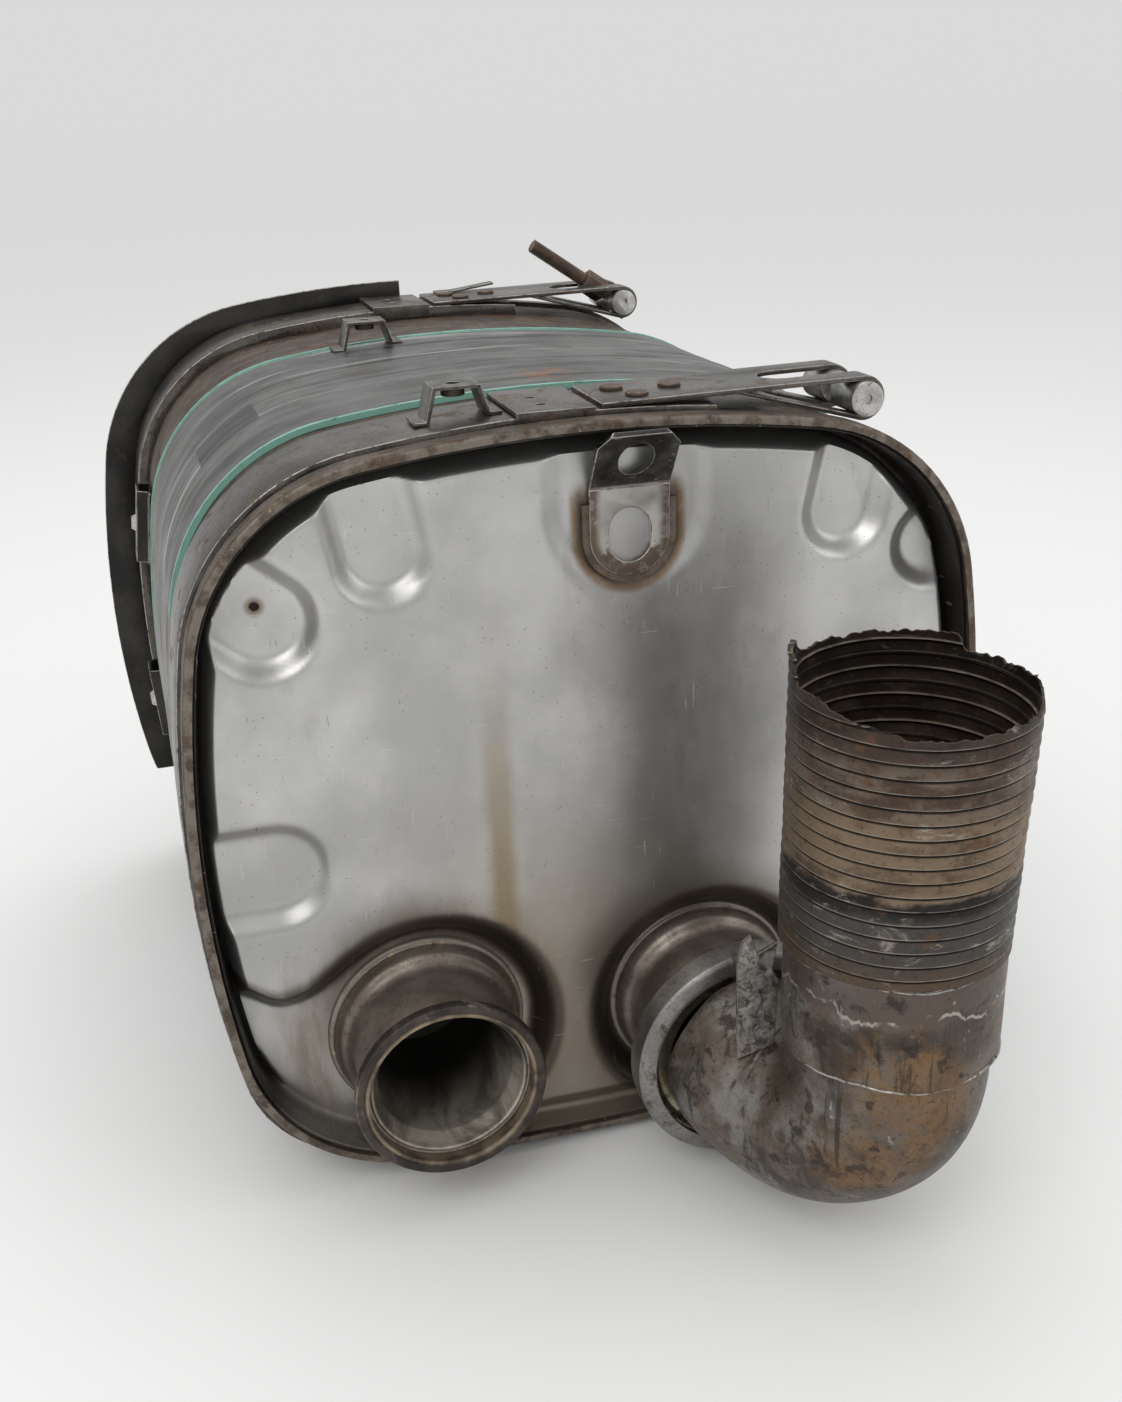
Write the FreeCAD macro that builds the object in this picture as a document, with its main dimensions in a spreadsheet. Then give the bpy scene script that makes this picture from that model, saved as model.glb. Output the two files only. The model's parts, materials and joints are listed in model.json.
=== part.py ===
"""Diesel aftertreatment can: a strapped, heat-shielded steel box with a pressed end cap.

The can lies on its side. X runs to the right along the cap, Y runs back from the
front rim, Z is up. Every piece is drawn from the centre of the front rim, and
FRAME then moves it so that the origin is the centre of the inlet flange's face.
"""
import FreeCAD, Part
import math
import os

from FreeCAD import Placement, Rotation, Vector

SIZES = [
    # body
    ("body_width", 500), ("body_height", 473), ("body_length", 560), ("sheet", 2),
    ("crown_top", 890), ("crown_bottom", 1790), ("crown_side", 777),
    ("corner_top", 122), ("corner_bottom", 114),
    ("rim_proud", 3.5), ("rim_depth", 14), ("rim_round", 2.5),
    # front cap
    ("cap_lip", 4), ("gutter_depth", 38), ("gutter_width", 16), ("panel_depth", 14),
    ("panel_draft", 10), ("panel_round", 6), ("dimple_depth", 10), ("recess_depth", 16),
    ("pressing_slope", 28), ("lug_recess_depth", 3), ("lug_recess_radius", 48), ("lug_recess_set", 51.5),
    ("step_rise", 126.5), ("step_slant", 6), ("step_set", 22),
    # rear cap
    ("rear_gutter_depth", 30), ("rear_panel_depth", 10),
    # core
    ("liner_mat", 10), ("liner_sheet", 1.5), ("bulkhead_set", 30), ("bulkhead_sheet", 2.5),
    ("brick_mat", 6), ("brick_set", 60), ("can_sheet", 1.5), ("can_front_set", 80),
    ("can_rear_set", 90), ("can_gap", 2), ("can_web", 5), ("mixer_gap", 13),
    # shield
    ("shield_front", 119), ("shield_set", 49), ("shield_height", 3), ("bead_height", 1.4),
    ("bead_width", 6), ("tape_width", 4), ("tape_height", 0.8), ("tape_glue", 0.05),
    ("tape_break", 115),
    # rear guard
    ("guard_height", 27), ("guard_sheet", 2.5), ("guard_shift", 7),
    ("guard_end_x", -8), ("guard_end_z", -165),
    # straps
    ("strap_front", 20), ("strap_width", 65), ("strap_height", 5.5), ("strap_sheet", 2.5),
    ("rear_strap_set", 17), ("rear_strap_height", 8.5), ("strap_corner", 82),
    ("strap_end_x", 78), ("strap_end_z", 60),
    # strap ends
    ("loop_start_x", 8), ("loop_width", 62), ("loop_sheet", 3), ("pin_radius", 10.5),
    ("pin_x", 174), ("pin_rise", -2.5), ("pin_length", 71), ("loop_join_x", 98),
    ("slot_start_x", 118), ("slot_width", 27), ("stud_radius", 6), ("stud_clearance", 0.5),
    ("stud_length", 86), ("stud_angle", 34.4), ("shank_radius", 5.4), ("thread_gap", 0.5),
    ("nut_flats", 18), ("nut_height", 20), ("head_height", 8), ("pin_mark", 3), ("pin_mark_depth", 2),
    ("rivet_radius", 7), ("rivet_height", 2.2),
    # clips and saddles
    ("clip_width", 47), ("clip_left_x", -44), ("clip_sheet", 2.5), ("clip_overlap", 2.8),
    ("clip_hole", 3), ("clip_hole_set", 20), ("clip_hook_gap", 1.5), ("seat_gap", 0.1),
    ("saddle_left_x", -92), ("saddle_set", 18), ("saddle_width", 38), ("saddle_rise", 18),
    ("saddle_depth", 24), ("saddle_sheet", 2), ("saddle_foot", 7), ("saddle_lean", 5),
    ("saddle_hole", 4), ("clinch_radius", 7), ("clinch_length", 5),
    ("tab_left_x", 20), ("tab_length", 52), ("tab_depth", 11), ("tab_front", 51), ("tab_rise", 5),
    ("tab_sheet", 2), ("tab_root", 16),
    ("side_bracket_set", 19), ("side_bracket_depth", 34), ("side_bracket_length", 58),
    ("side_bracket_rise", 11), ("side_bracket_sheet", 2), ("side_bracket_foot", 7),
    ("side_bracket_lean", 3), ("side_slot_width", 8), ("screw_radius", 7), ("screw_tip", 5),
    ("screw_height", 3.5), ("screw_clearance", 0.5),
    ("upper_bracket_z", 95), ("lower_bracket_z", -55),
    # lifting lug
    ("lug_x", 21), ("lug_set", 93.5), ("lug_width", 50), ("lug_sheet", 4), ("lug_flat", 55),
    ("lug_rise", 36), ("lug_lean", 24), ("lug_chamfer", 9), ("lug_eye", 10.5), ("lug_eye_rise", 18),
    ("lug_slot_set", 25), ("lug_slot_radius", 13), ("lug_slot_rise", 7), ("weld_leg", 4),
    ("weld_stop", 10),
    # inlet and outlet
    ("inlet_set", 131.5), ("inlet_rise", 85), ("inlet_reach", 47), ("port_radius", 52),
    ("port_sheet", 2.5), ("neck_radius", 61), ("neck_reach", 10), ("collar_lip", 4),
    ("shoulder_length", 8), ("flange_radius", 59.5), ("flange_length", 9), ("flange_step", 1.5),
    ("flange_chamfer", 0.5), ("sleeve_radius", 44), ("sleeve_sheet", 1.5), ("sleeve_flare", 3),
    ("inlet_recess", 78), ("outlet_recess", 75),
    ("outlet_set", 179), ("outlet_rise", 75.5), ("outlet_reach", 60), ("clamp_radius", 73),
    ("clamp_length", 25), ("clamp_sheet", 3), ("clamp_taper", 5), ("clamp_lip", 4), ("clamp_seat", 6),
    ("ring_radius", 62), ("ring_length", 6), ("ring_taper", 3), ("ring_gap", 0.3),
    # elbow and hose
    ("elbow_radius", 57), ("elbow_sheet", 2.5), ("elbow_bend", 64), ("elbow_dip", 18),
    ("elbow_gap", 0.3), ("torn_tab_width", 25), ("torn_tab_height", 84), ("torn_tab_sheet", 3),
    ("torn_tab_turn", 116), ("torn_tab_back", 3), ("torn_tab_drop", 17.2), ("torn_tab_reach", 42),
    ("hose_offset", 47), ("hose_reach", 90), ("seam_rise", 71), ("cuff_length", 62), ("cuff_lap", 3),
    ("cuff_radius", 61.5), ("hose_radius", 63), ("hose_flare", 3.5), ("hose_length", 174),
    ("hose_wall", 1.8), ("hose_grip", 8), ("band_pitch", 12.5), ("band_step", 1.3), ("torn_drop", 42),
]
DERIVED = [
    ("inlet_x", "inlet_set - body_width / 2"), ("inlet_z", "inlet_rise - body_height / 2"),
    ("outlet_x", "body_width / 2 - outlet_set"), ("outlet_z", "outlet_rise - body_height / 2"),
    ("hose_x", "outlet_x + hose_offset"), ("hose_y", "-outlet_reach - hose_reach"),
    ("seam_z", "outlet_z + seam_rise"), ("cuff_top_z", "seam_z + cuff_length"),
    ("hose_top_z", "cuff_top_z + hose_length"),
    ("lug_foot_z", "body_height / 2 - lug_set"), ("lug_bend_z", "lug_foot_z + lug_flat"),
    ("lug_top_z", "lug_bend_z + lug_rise"), ("lug_eye_z", "lug_bend_z + lug_eye_rise"),
    ("lug_slot_z", "lug_foot_z + lug_slot_set"),
    ("rear_strap_front", "body_length - rear_strap_set - strap_width"),
    ("side_bracket_y", "rear_strap_front - side_bracket_set - side_bracket_depth"),
    ("shield_length", "side_bracket_y - side_bracket_foot - shield_set - shield_front"),
    ("can_length", "body_length - can_front_set - can_rear_set"),
    ("brick_length", "can_length - 2 * brick_set"),
]

doc = FreeCAD.newDocument("aftertreatment_can")
sheet = doc.addObject("Spreadsheet::Sheet", "sizes")
formulas = [(alias, "=" + formula) for alias, formula in DERIVED]
for row, (alias, value) in enumerate(SIZES + formulas, 1):
    sheet.set(f"A{row}", alias)
    sheet.set(f"B{row}", str(value))
    sheet.setAlias(f"B{row}", alias)
doc.recompute()
NODES = []


def size(alias):
    """The value of one named size in the sheet."""
    return float(sheet.get(alias))


FRAME = Placement(Vector(-size("inlet_x"), size("inlet_reach"), -size("inlet_z")), Rotation())
HALF_W, HALF_H = size("body_width") / 2, size("body_height") / 2
FAR = size("body_width") + size("body_height")
OUT_OF_CAP = Rotation(Vector(1, 0, 0), 90)
ALONG_CAN = Rotation(Vector(1, 0, 0), -90)


def keep(piece, label, where=Placement()):
    """Name a finished piece, put it in the shared frame and list it for export."""
    piece.Label = label
    piece.Placement = FRAME.multiply(where)
    NODES.append(piece)
    return piece


def new_body(label):
    return doc.addObject("PartDesign::Body", label)


def arc(cx, cy, radius, start, end):
    return Part.ArcOfCircle(Part.Circle(Vector(cx, cy, 0), Vector(0, 0, 1), radius), start, end)


def ring_line(cx, cy, radius):
    return Part.Circle(Vector(cx, cy, 0), Vector(0, 0, 1), radius)


def polygon(points):
    corners = [Vector(x, y, 0) for x, y in points]
    return [Part.LineSegment(a, b) for a, b in zip(corners, corners[1:] + corners[:1])]


def rectangle(x0, y0, x1, y1):
    return polygon([(x0, y0), (x1, y0), (x1, y1), (x0, y1)])


def sketch(body, role, geometry, offset=None):
    """A sketch on one of the body's own origin planes, moved along the plane's normal."""
    plane = next(f for f in body.Origin.OriginFeatures if f.Role == role)
    drawing = body.newObject("Sketcher::SketchObject", body.Name + "_sketch")
    drawing.AttachmentSupport = (plane, [""])
    drawing.MapMode = "FlatFace"
    drawing.addGeometry(geometry, False)
    if offset:
        drawing.setExpression("AttachmentOffset.Base.z", offset)
    return drawing


def pad(body, drawing, length, back=False):
    feature = body.newObject("PartDesign::Pad", body.Name + "_pad")
    feature.Profile = drawing
    feature.setExpression("Length", length)
    feature.Reversed = back
    return feature


def pocket(body, drawing, length=None, back=False, slope=None):
    feature = body.newObject("PartDesign::Pocket", body.Name + "_pocket")
    feature.Profile = drawing
    feature.Reversed = back
    if length:
        feature.setExpression("Length", length)
    else:
        feature.Type = "ThroughAll"
    if slope:
        feature.setExpression("TaperAngle", slope)
    return feature


def revolve(body, drawing):
    feature = body.newObject("PartDesign::Revolution", body.Name + "_turned")
    feature.Profile = drawing
    feature.ReferenceAxis = (drawing, ["V_Axis"])
    feature.Angle = 360
    return feature


# Outline of the can: crowned top, bottom and sides joined by round corners


def corner_centre(crown, side, corner):
    """Centre of the corner arc that is tangent to the crown and to the side."""
    from_crown, from_side = crown - corner, side - corner
    crown_centre = Vector(0, HALF_H - crown, 0)
    side_centre = Vector(HALF_W - side, 0, 0)
    across = side_centre - crown_centre
    along = (from_crown**2 - from_side**2 + across.Length**2) / (2 * across.Length)
    off = math.sqrt(from_crown**2 - along**2)
    unit = across / across.Length
    normal = Vector(-unit.y, unit.x, 0)
    ends = [crown_centre + unit * along + normal * s * off for s in (1, -1)]
    return max(ends, key=lambda point: point.x + point.y)


def outline(grow, lower_corner=None, shift=(0, 0)):
    """Eight tangent arcs, parallel to the can's outline at a distance grow outside it."""
    lower_corner = lower_corner or size("corner_bottom")
    side = size("crown_side")
    dx, dz = shift
    arcs = []
    parts = {}
    for sign, crown, corner in ((1, size("crown_top"), size("corner_top")),
                                (-1, size("crown_bottom"), lower_corner)):
        centre = corner_centre(crown, side, corner)
        crown_z = HALF_H - crown
        steep = math.atan2(centre.y - crown_z, centre.x)
        flat = math.atan2(centre.y, centre.x - (HALF_W - side))
        parts[sign] = (centre, crown, crown_z, corner, steep, flat)
    top, low = parts[1], parts[-1]
    pi = math.pi
    side_x = HALF_W - side
    arcs.append(arc(dx, dz + top[2], top[1] + grow, top[4], pi - top[4]))
    arcs.append(arc(dx - top[0].x, dz + top[0].y, top[3] + grow, pi - top[4], pi - top[5]))
    arcs.append(arc(dx - side_x, dz, side + grow, pi - top[5], pi + low[5]))
    arcs.append(arc(dx - low[0].x, dz - low[0].y, low[3] + grow, pi + low[5], pi + low[4]))
    arcs.append(arc(dx, dz - low[2], low[1] + grow, pi + low[4], 2 * pi - low[4]))
    arcs.append(arc(dx + low[0].x, dz - low[0].y, low[3] + grow, -low[4], -low[5]))
    arcs.append(arc(dx + side_x, dz, side + grow, -low[5], top[5]))
    arcs.append(arc(dx + top[0].x, dz + top[0].y, top[3] + grow, top[5], top[4]))
    return arcs


def top_height(x, grow=0.0):
    """Height of the crowned top at x, for the outline grown by grow."""
    crown = size("crown_top")
    return HALF_H - crown + math.sqrt((crown + grow) ** 2 - x**2)


def band(label, outer, inner, start, length, lower_corner=None):
    """A band round the can between two parallel outlines."""
    body = new_body(label)
    lines = outline(outer, lower_corner) + outline(inner, lower_corner)
    pad(body, sketch(body, "XZ_Plane", lines, f"-({start})"), length, back=True)
    return body


def cut_window(body, x0, z0, x1, z1, start, length):
    """Cut a rectangle, seen from the front, out of a body between two depths."""
    drawing = sketch(body, "XZ_Plane", rectangle(x0, z0, x1, z1), f"-({start})")
    return pocket(body, drawing, length)


def edges_at(shape, test):
    return [f"Edge{n}" for n, edge in enumerate(shape.Edges, 1) if test(edge)]


# Can: shell, caps, liner


def shell():
    body = band("shell", 0, -size("sheet"), "0", "sizes.body_length")
    for start in ("0", "sizes.body_length - sizes.rim_depth"):
        lines = outline(size("rim_proud")) + outline(-size("sheet"))
        roll = pad(body, sketch(body, "XZ_Plane", lines, f"-({start})"), "sizes.rim_depth", back=True)
    doc.recompute()
    outer = size("body_width") / 2 + size("rim_proud") / 2

    def front_corner(edge):
        box = edge.BoundBox
        reach = max(abs(box.XMin), abs(box.XMax)) > outer or max(abs(box.ZMin), abs(box.ZMax)) > (
            HALF_H + size("rim_proud") / 2)
        return box.YMax < 0.01 and reach

    rounded = body.newObject("PartDesign::Fillet", "rim_round_edge")
    names = edges_at(roll.Shape, front_corner)
    rounded.Base = (roll, names)
    rounded.setExpression("Radius", "sizes.rim_round")
    keep(body, "shell")


# Dimples round the panel: side, place from that side and from the top, radius, turn of the open end
DIMPLES = [(-1, 124, 66.5, 29, 101), (-1, 54, 98.5, 30, 135), (1, 90, 70.5, 26, 78),
           (1, 28, 96.5, 26, 45), (-1, 45, 256.5, 33, 180)]


def dimple(cx, cz, radius, turn):
    """Outline of a U-shaped dimple: a round end at (cx, cz), open along the turned direction."""
    length = 3 * radius
    angle = math.radians(turn)
    out = Vector(math.cos(angle), math.sin(angle), 0)
    side = Vector(-out.y, out.x, 0)
    centre = Vector(cx, cz, 0)
    left, right = centre + side * radius, centre - side * radius
    return [arc(cx, cz, radius, angle + math.pi / 2, angle + 3 * math.pi / 2),
            Part.LineSegment(right, right + out * length),
            Part.LineSegment(right + out * length, left + out * length),
            Part.LineSegment(left + out * length, left)]


def cap_block(name, layers):
    """A solid whose front is the pressed face, moved back by layers of the sheet."""
    body = new_body(name)
    base = f"sizes.gutter_depth + {layers} * sizes.sheet"
    face = f"sizes.panel_depth + {layers} * sizes.sheet"
    lines = outline(-size("sheet"))
    pad(body, sketch(body, "XZ_Plane", lines, f"-({base})"), "sizes.gutter_depth", back=True)
    foot = -size("sheet") - size("gutter_width")
    loft = body.newObject("PartDesign::AdditiveLoft", name + "_panel")
    loft.Profile = sketch(body, "XZ_Plane", outline(foot), f"-({base})")
    loft.Sections = [sketch(body, "XZ_Plane", outline(foot - size("panel_draft")), f"-({face})")]
    doc.recompute()
    edge = body.newObject("PartDesign::Fillet", name + "_edge")
    front = size("panel_depth") + layers * size("sheet")
    edge.Base = (loft, edges_at(loft.Shape, lambda e: abs(e.BoundBox.YMax - front) < 0.01
                                and abs(e.BoundBox.YMin - front) < 0.01))
    edge.setExpression("Radius", "sizes.panel_round")
    for side, across, down, radius, turn in DIMPLES:
        lines = dimple(side * (HALF_W - across), HALF_H - down, radius, turn)
        drawing = sketch(body, "XZ_Plane", lines, f"-({face})")
        pocket(body, drawing, "sizes.dimple_depth", slope="-sizes.pressing_slope")
    lines = dimple(size("lug_x"), HALF_H - size("lug_recess_set"), size("lug_recess_radius"), 90)
    lug = sketch(body, "XZ_Plane", lines, f"-({face})")
    pocket(body, lug, "sizes.lug_recess_depth", slope="-sizes.pressing_slope")
    step = size("step_rise") - HALF_H
    low_left = [(-FAR, step + size("step_slant")), (size("step_set") - HALF_W, step),
                (size("inlet_x"), step), (size("inlet_x"), -FAR), (-FAR, -FAR)]
    recesses = [[ring_line(size("inlet_x"), size("inlet_z"), size("inlet_recess"))],
                [ring_line(size("outlet_x"), size("outlet_z"), size("outlet_recess"))],
                polygon(low_left)]
    for lines in recesses:
        drawing = sketch(body, "XZ_Plane", lines, f"-({face})")
        pocket(body, drawing, "sizes.recess_depth", slope="-sizes.pressing_slope")
    for x, z in (("inlet_x", "inlet_z"), ("outlet_x", "outlet_z")):
        hole = ring_line(size(x), size(z), size("port_radius"))
        pocket(body, sketch(body, "XZ_Plane", [hole], f"-({face})"))
    return body


def front_end_cap():
    face, back = cap_block("cap_face", 0), cap_block("cap_back", 1)
    skin = doc.addObject("Part::Cut", "cap_skin")
    skin.Base, skin.Tool = face, back
    inner = -2 * size("sheet")
    wall = band("cap_wall", -size("sheet"), inner, "sizes.cap_lip", "sizes.gutter_depth")
    cap = doc.addObject("Part::Fuse", "cap_whole")
    cap.Base, cap.Tool = skin, wall
    keep(cap, "front_end_cap")


def rear_end_cap():
    length = size("body_length")
    blocks = []
    for name, drop in (("rear_face", 0.0), ("rear_back", -size("sheet"))):
        body = new_body(name)
        base = length - size("rear_gutter_depth") + drop
        start = f"-({base - size('rear_gutter_depth')})"
        pad(body, sketch(body, "XZ_Plane", outline(-size("sheet")), start),
            "sizes.rear_gutter_depth", back=True)
        foot = -size("sheet") - size("gutter_width")
        loft = body.newObject("PartDesign::AdditiveLoft", name + "_panel")
        loft.Profile = sketch(body, "XZ_Plane", outline(foot), f"-({base})")
        top = length - size("rear_panel_depth") + drop
        loft.Sections = [sketch(body, "XZ_Plane", outline(foot - size("panel_draft")), f"-({top})")]
        blocks.append(body)
    skin = doc.addObject("Part::Cut", "rear_skin")
    skin.Base, skin.Tool = blocks
    start = "sizes.body_length - sizes.rear_gutter_depth - sizes.sheet"
    wall = band("rear_wall", -size("sheet"), -2 * size("sheet"), start, "sizes.rear_gutter_depth")
    cap = doc.addObject("Part::Fuse", "rear_whole")
    cap.Base, cap.Tool = skin, wall
    keep(cap, "rear_end_cap")


LINER_START = "sizes.gutter_depth + sizes.cap_lip"
LINER_LENGTH = ("sizes.body_length - sizes.gutter_depth - sizes.rear_gutter_depth"
                " - 2 * sizes.sheet - sizes.cap_lip")


def liner():
    outer = -size("sheet")
    inner = outer - size("liner_mat")
    keep(band("insulation_mat", outer, inner, LINER_START, LINER_LENGTH), "insulation_mat")
    lining = band("inner_liner", inner, inner - size("liner_sheet"), LINER_START, LINER_LENGTH)
    keep(lining, "inner_liner")


# Core: two bulkheads that carry four catalyst cans and a mixing tube

CANS = [("oxidation", -1, -1), ("filter", -1, 1), ("upper_reduction", 1, 1), ("lower_reduction", 1, -1)]


def tube(label, x, z, outer, inner, start, length):
    body = new_body(label)
    lines = [ring_line(x, z, r) for r in (outer, inner) if r]
    pad(body, sketch(body, "XZ_Plane", lines, f"-({start})"), length, back=True)
    return keep(body, label)


def core():
    """Each can lies in a corner of the lining, on the corner's own centre."""
    lining = size("sheet") + size("liner_mat") + size("liner_sheet")
    centres = {}
    for level, crown, corner in ((1, "crown_top", "corner_top"), (-1, "crown_bottom", "corner_bottom")):
        centres[level] = corner_centre(size(crown), size("crown_side"), size(corner))
    room = min(size("corner_top"), size("corner_bottom")) - lining - size("can_gap")
    can = min([room] + [min(c.x, c.y) - size("can_web") / 2 for c in centres.values()])
    mat = can - size("can_sheet")
    brick = mat - size("brick_mat")
    places = [(name, side * centres[level].x, level * centres[level].y) for name, side, level in CANS]
    brick_start = "sizes.can_front_set + sizes.brick_set"
    for name, x, z in places:
        tube(name + "_brick", x, z, brick, None, brick_start, "sizes.brick_length")
        tube(name + "_mat", x, z, mat, brick, brick_start, "sizes.brick_length")
        tube(name + "_can", x, z, can, mat, "sizes.can_front_set", "sizes.can_length")
    mixer = min(math.hypot(x, z) for _, x, z in places) - can - size("mixer_gap")
    tube("mixing_tube", 0, 0, mixer, mixer - size("can_sheet"), "sizes.can_front_set",
         "sizes.can_length")
    first = "sizes.can_front_set + sizes.bulkhead_set"
    last = "sizes.body_length - sizes.can_rear_set - sizes.bulkhead_set - sizes.bulkhead_sheet"
    for name, start in (("front_bulkhead", first), ("rear_bulkhead", last)):
        body = new_body(name)
        lines = outline(-lining) + [ring_line(x, z, can) for _, x, z in places]
        lines.append(ring_line(0, 0, mixer))
        pad(body, sketch(body, "XZ_Plane", lines, f"-({start})"), "sizes.bulkhead_sheet", back=True)
        keep(body, name)


# Heat shield, its edge tapes and the guard behind the rear strap


def heat_shield():
    body = band("heat_shield", size("shield_height"), 0, "sizes.shield_front", "sizes.shield_length")
    top = size("shield_height")
    for share in (0.16, 0.36, 0.57, 0.8):
        start = f"sizes.shield_front + {share} * sizes.shield_length"
        lines = outline(top + size("bead_height")) + outline(top / 2)
        pad(body, sketch(body, "XZ_Plane", lines, f"-({start})"), "sizes.bead_width", back=True)
    keep(body, "heat_shield")


def edge_tapes():
    low = size("shield_height") + size("tape_glue")
    high = low + size("tape_height")
    front = band("front_edge_tape", high, low, "sizes.shield_front", "sizes.tape_width")
    cut_window(front, -FAR, -FAR, -HALF_W / 2, size("tape_break"), "0", "sizes.body_length")
    keep(front, "front_edge_tape")
    start = "sizes.shield_front + sizes.shield_length - sizes.tape_width"
    keep(band("rear_edge_tape", high, low, start, "sizes.tape_width"), "rear_edge_tape")


def rear_rim_guard():
    """An L-section flange on the rear rim, over the top left and down the left side."""
    body = new_body("rear_rim_guard")
    start = "sizes.body_length - sizes.rim_depth"
    shift = (-size("guard_shift"), -size("guard_shift") / 2)
    seat = outline(size("rim_proud"))
    lines = outline(size("guard_height"), shift=shift) + seat
    pad(body, sketch(body, "XZ_Plane", lines, f"-({start})"), "sizes.guard_sheet", back=True)
    lines = outline(size("rim_proud") + size("guard_sheet")) + seat
    pad(body, sketch(body, "XZ_Plane", lines, f"-({start})"), "sizes.rim_depth", back=True)
    deep = "sizes.body_length"
    cut_window(body, size("guard_end_x"), -FAR, FAR, FAR, "0", deep)
    cut_window(body, -FAR, -FAR, FAR, size("guard_end_z"), "0", deep)
    keep(body, "rear_rim_guard")


# Straps with their riveted loops, pins and stud


def strap(label, start, height):
    """A shallow channel band that stands off the lower corners of the can."""
    body = new_body(label)
    lines = outline(height, size("strap_corner")) + outline(0)
    pad(body, sketch(body, "XZ_Plane", lines, f"-({start})"), "sizes.strap_width", back=True)
    under = outline(height - size("strap_sheet"), size("strap_corner")) + outline(-1)
    drawing = sketch(body, "XZ_Plane", under, f"-({start} + sizes.strap_sheet)")
    pocket(body, drawing, "sizes.strap_width - 2 * sizes.strap_sheet")
    cut_window(body, size("strap_end_x"), size("strap_end_z"), FAR, FAR, "0", "2 * sizes.body_length")
    keep(body, label)


STRAPS = [("front", "sizes.strap_front", "strap_height"),
          ("rear", "sizes.rear_strap_front", "rear_strap_height")]


def pin_height(height):
    """The pin's height follows the crowned top of the strap it belongs to."""
    return HALF_H + size(height) - size("strap_height") + size("pin_rise")


def tangent_point(px, pz, cx, cz, radius, side):
    """Point where the line from (px, pz) touches a circle, above it (1) or below it (-1)."""
    dx, dz = cx - px, cz - pz
    away = math.hypot(dx, dz)
    angle = math.atan2(dz, dx) + side * math.asin(radius / away)
    reach = math.sqrt(away**2 - radius**2)
    return Vector(px + reach * math.cos(angle), pz + reach * math.sin(angle), 0)


def strap_loop(label, start, height):
    """A strip riveted on the strap, folded round the pin and slotted for the stud."""
    body = new_body(label)
    cx, cz = size("pin_x"), pin_height(height)
    inner, outer = size("pin_radius"), size("pin_radius") + size("loop_sheet")
    x0, thick = size("loop_start_x"), size("loop_sheet")
    z0 = top_height(x0, size(height))
    top = tangent_point(x0, z0 + thick, cx, cz, outer, 1)
    under = tangent_point(x0, z0, cx, cz, inner, 1)

    def on_strip(x):
        return Vector(x, z0 + (under.y - z0) * (x - x0) / (under.x - x0), 0)

    join = on_strip(size("loop_join_x"))
    heel = on_strip(size("loop_join_x") - 2 * thick)
    low_out = tangent_point(heel.x, heel.y, cx, cz, outer, -1)
    low_in = tangent_point(join.x, join.y, cx, cz, inner, -1)

    def turn(a, b, radius):
        start_angle = math.atan2(a.y - cz, a.x - cx)
        end_angle = math.atan2(b.y - cz, b.x - cx)
        return arc(cx, cz, radius, start_angle, end_angle)

    line = Part.LineSegment
    profile = [line(Vector(x0, z0, 0), Vector(x0, z0 + thick, 0)), line(Vector(x0, z0 + thick, 0), top),
               turn(low_out, top, outer), line(low_out, heel), line(heel, Vector(x0, z0, 0)),
               line(join, under), turn(low_in, under, inner), line(low_in, join)]
    edge = f"-({start} + (sizes.strap_width - sizes.loop_width) / 2)"
    pad(body, sketch(body, "XZ_Plane", profile, edge), "sizes.loop_width", back=True)
    middle = size(start.replace("sizes.", "")) + size("strap_width") / 2
    half = size("slot_width") / 2
    x1 = size("slot_start_x")
    slot = [arc(x1 + half, middle, half, math.pi / 2, 3 * math.pi / 2),
            Part.LineSegment(Vector(x1 + half, middle - half, 0), Vector(FAR, middle - half, 0)),
            Part.LineSegment(Vector(FAR, middle - half, 0), Vector(FAR, middle + half, 0)),
            Part.LineSegment(Vector(FAR, middle + half, 0), Vector(x1 + half, middle + half, 0))]
    pocket(body, sketch(body, "XY_Plane", slot, "2 * sizes.body_height"))
    keep(body, label)
    rise = (top.y - z0 - thick) / (top.x - x0)
    return Vector(x0, 0, z0 + thick), rise


def pin(label, start, height, angle):
    """A turned pin with a cross hole for the stud and a centre mark in its front face."""
    body = new_body(label)
    pad(body, sketch(body, "XY_Plane", [ring_line(0, 0, size("pin_radius"))]), "sizes.pin_length")
    radius = size("stud_radius") + size("stud_clearance")
    across = [ring_line(0, size("pin_length") / 2, radius)]
    pocket(body, sketch(body, "YZ_Plane", across, "2 * sizes.pin_radius"))
    mark = sketch(body, "XY_Plane", [ring_line(0, 0, size("pin_mark"))])
    pocket(body, mark, "sizes.pin_mark_depth", back=True)
    spin = Rotation(Vector(0, 1, 0), 180 + angle).multiply(ALONG_CAN)
    middle = size(start.replace("sizes.", "")) + (size("strap_width") - size("pin_length")) / 2
    keep(body, label, Placement(Vector(size("pin_x"), middle, pin_height(height)), spin))


def stud_place(start, height):
    middle = size(start.replace("sizes.", "")) + size("strap_width") / 2
    lean = Rotation(Vector(0, 1, 0), size("stud_angle") - 90)
    return Placement(Vector(size("pin_x"), middle, pin_height(height)), lean)


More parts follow.
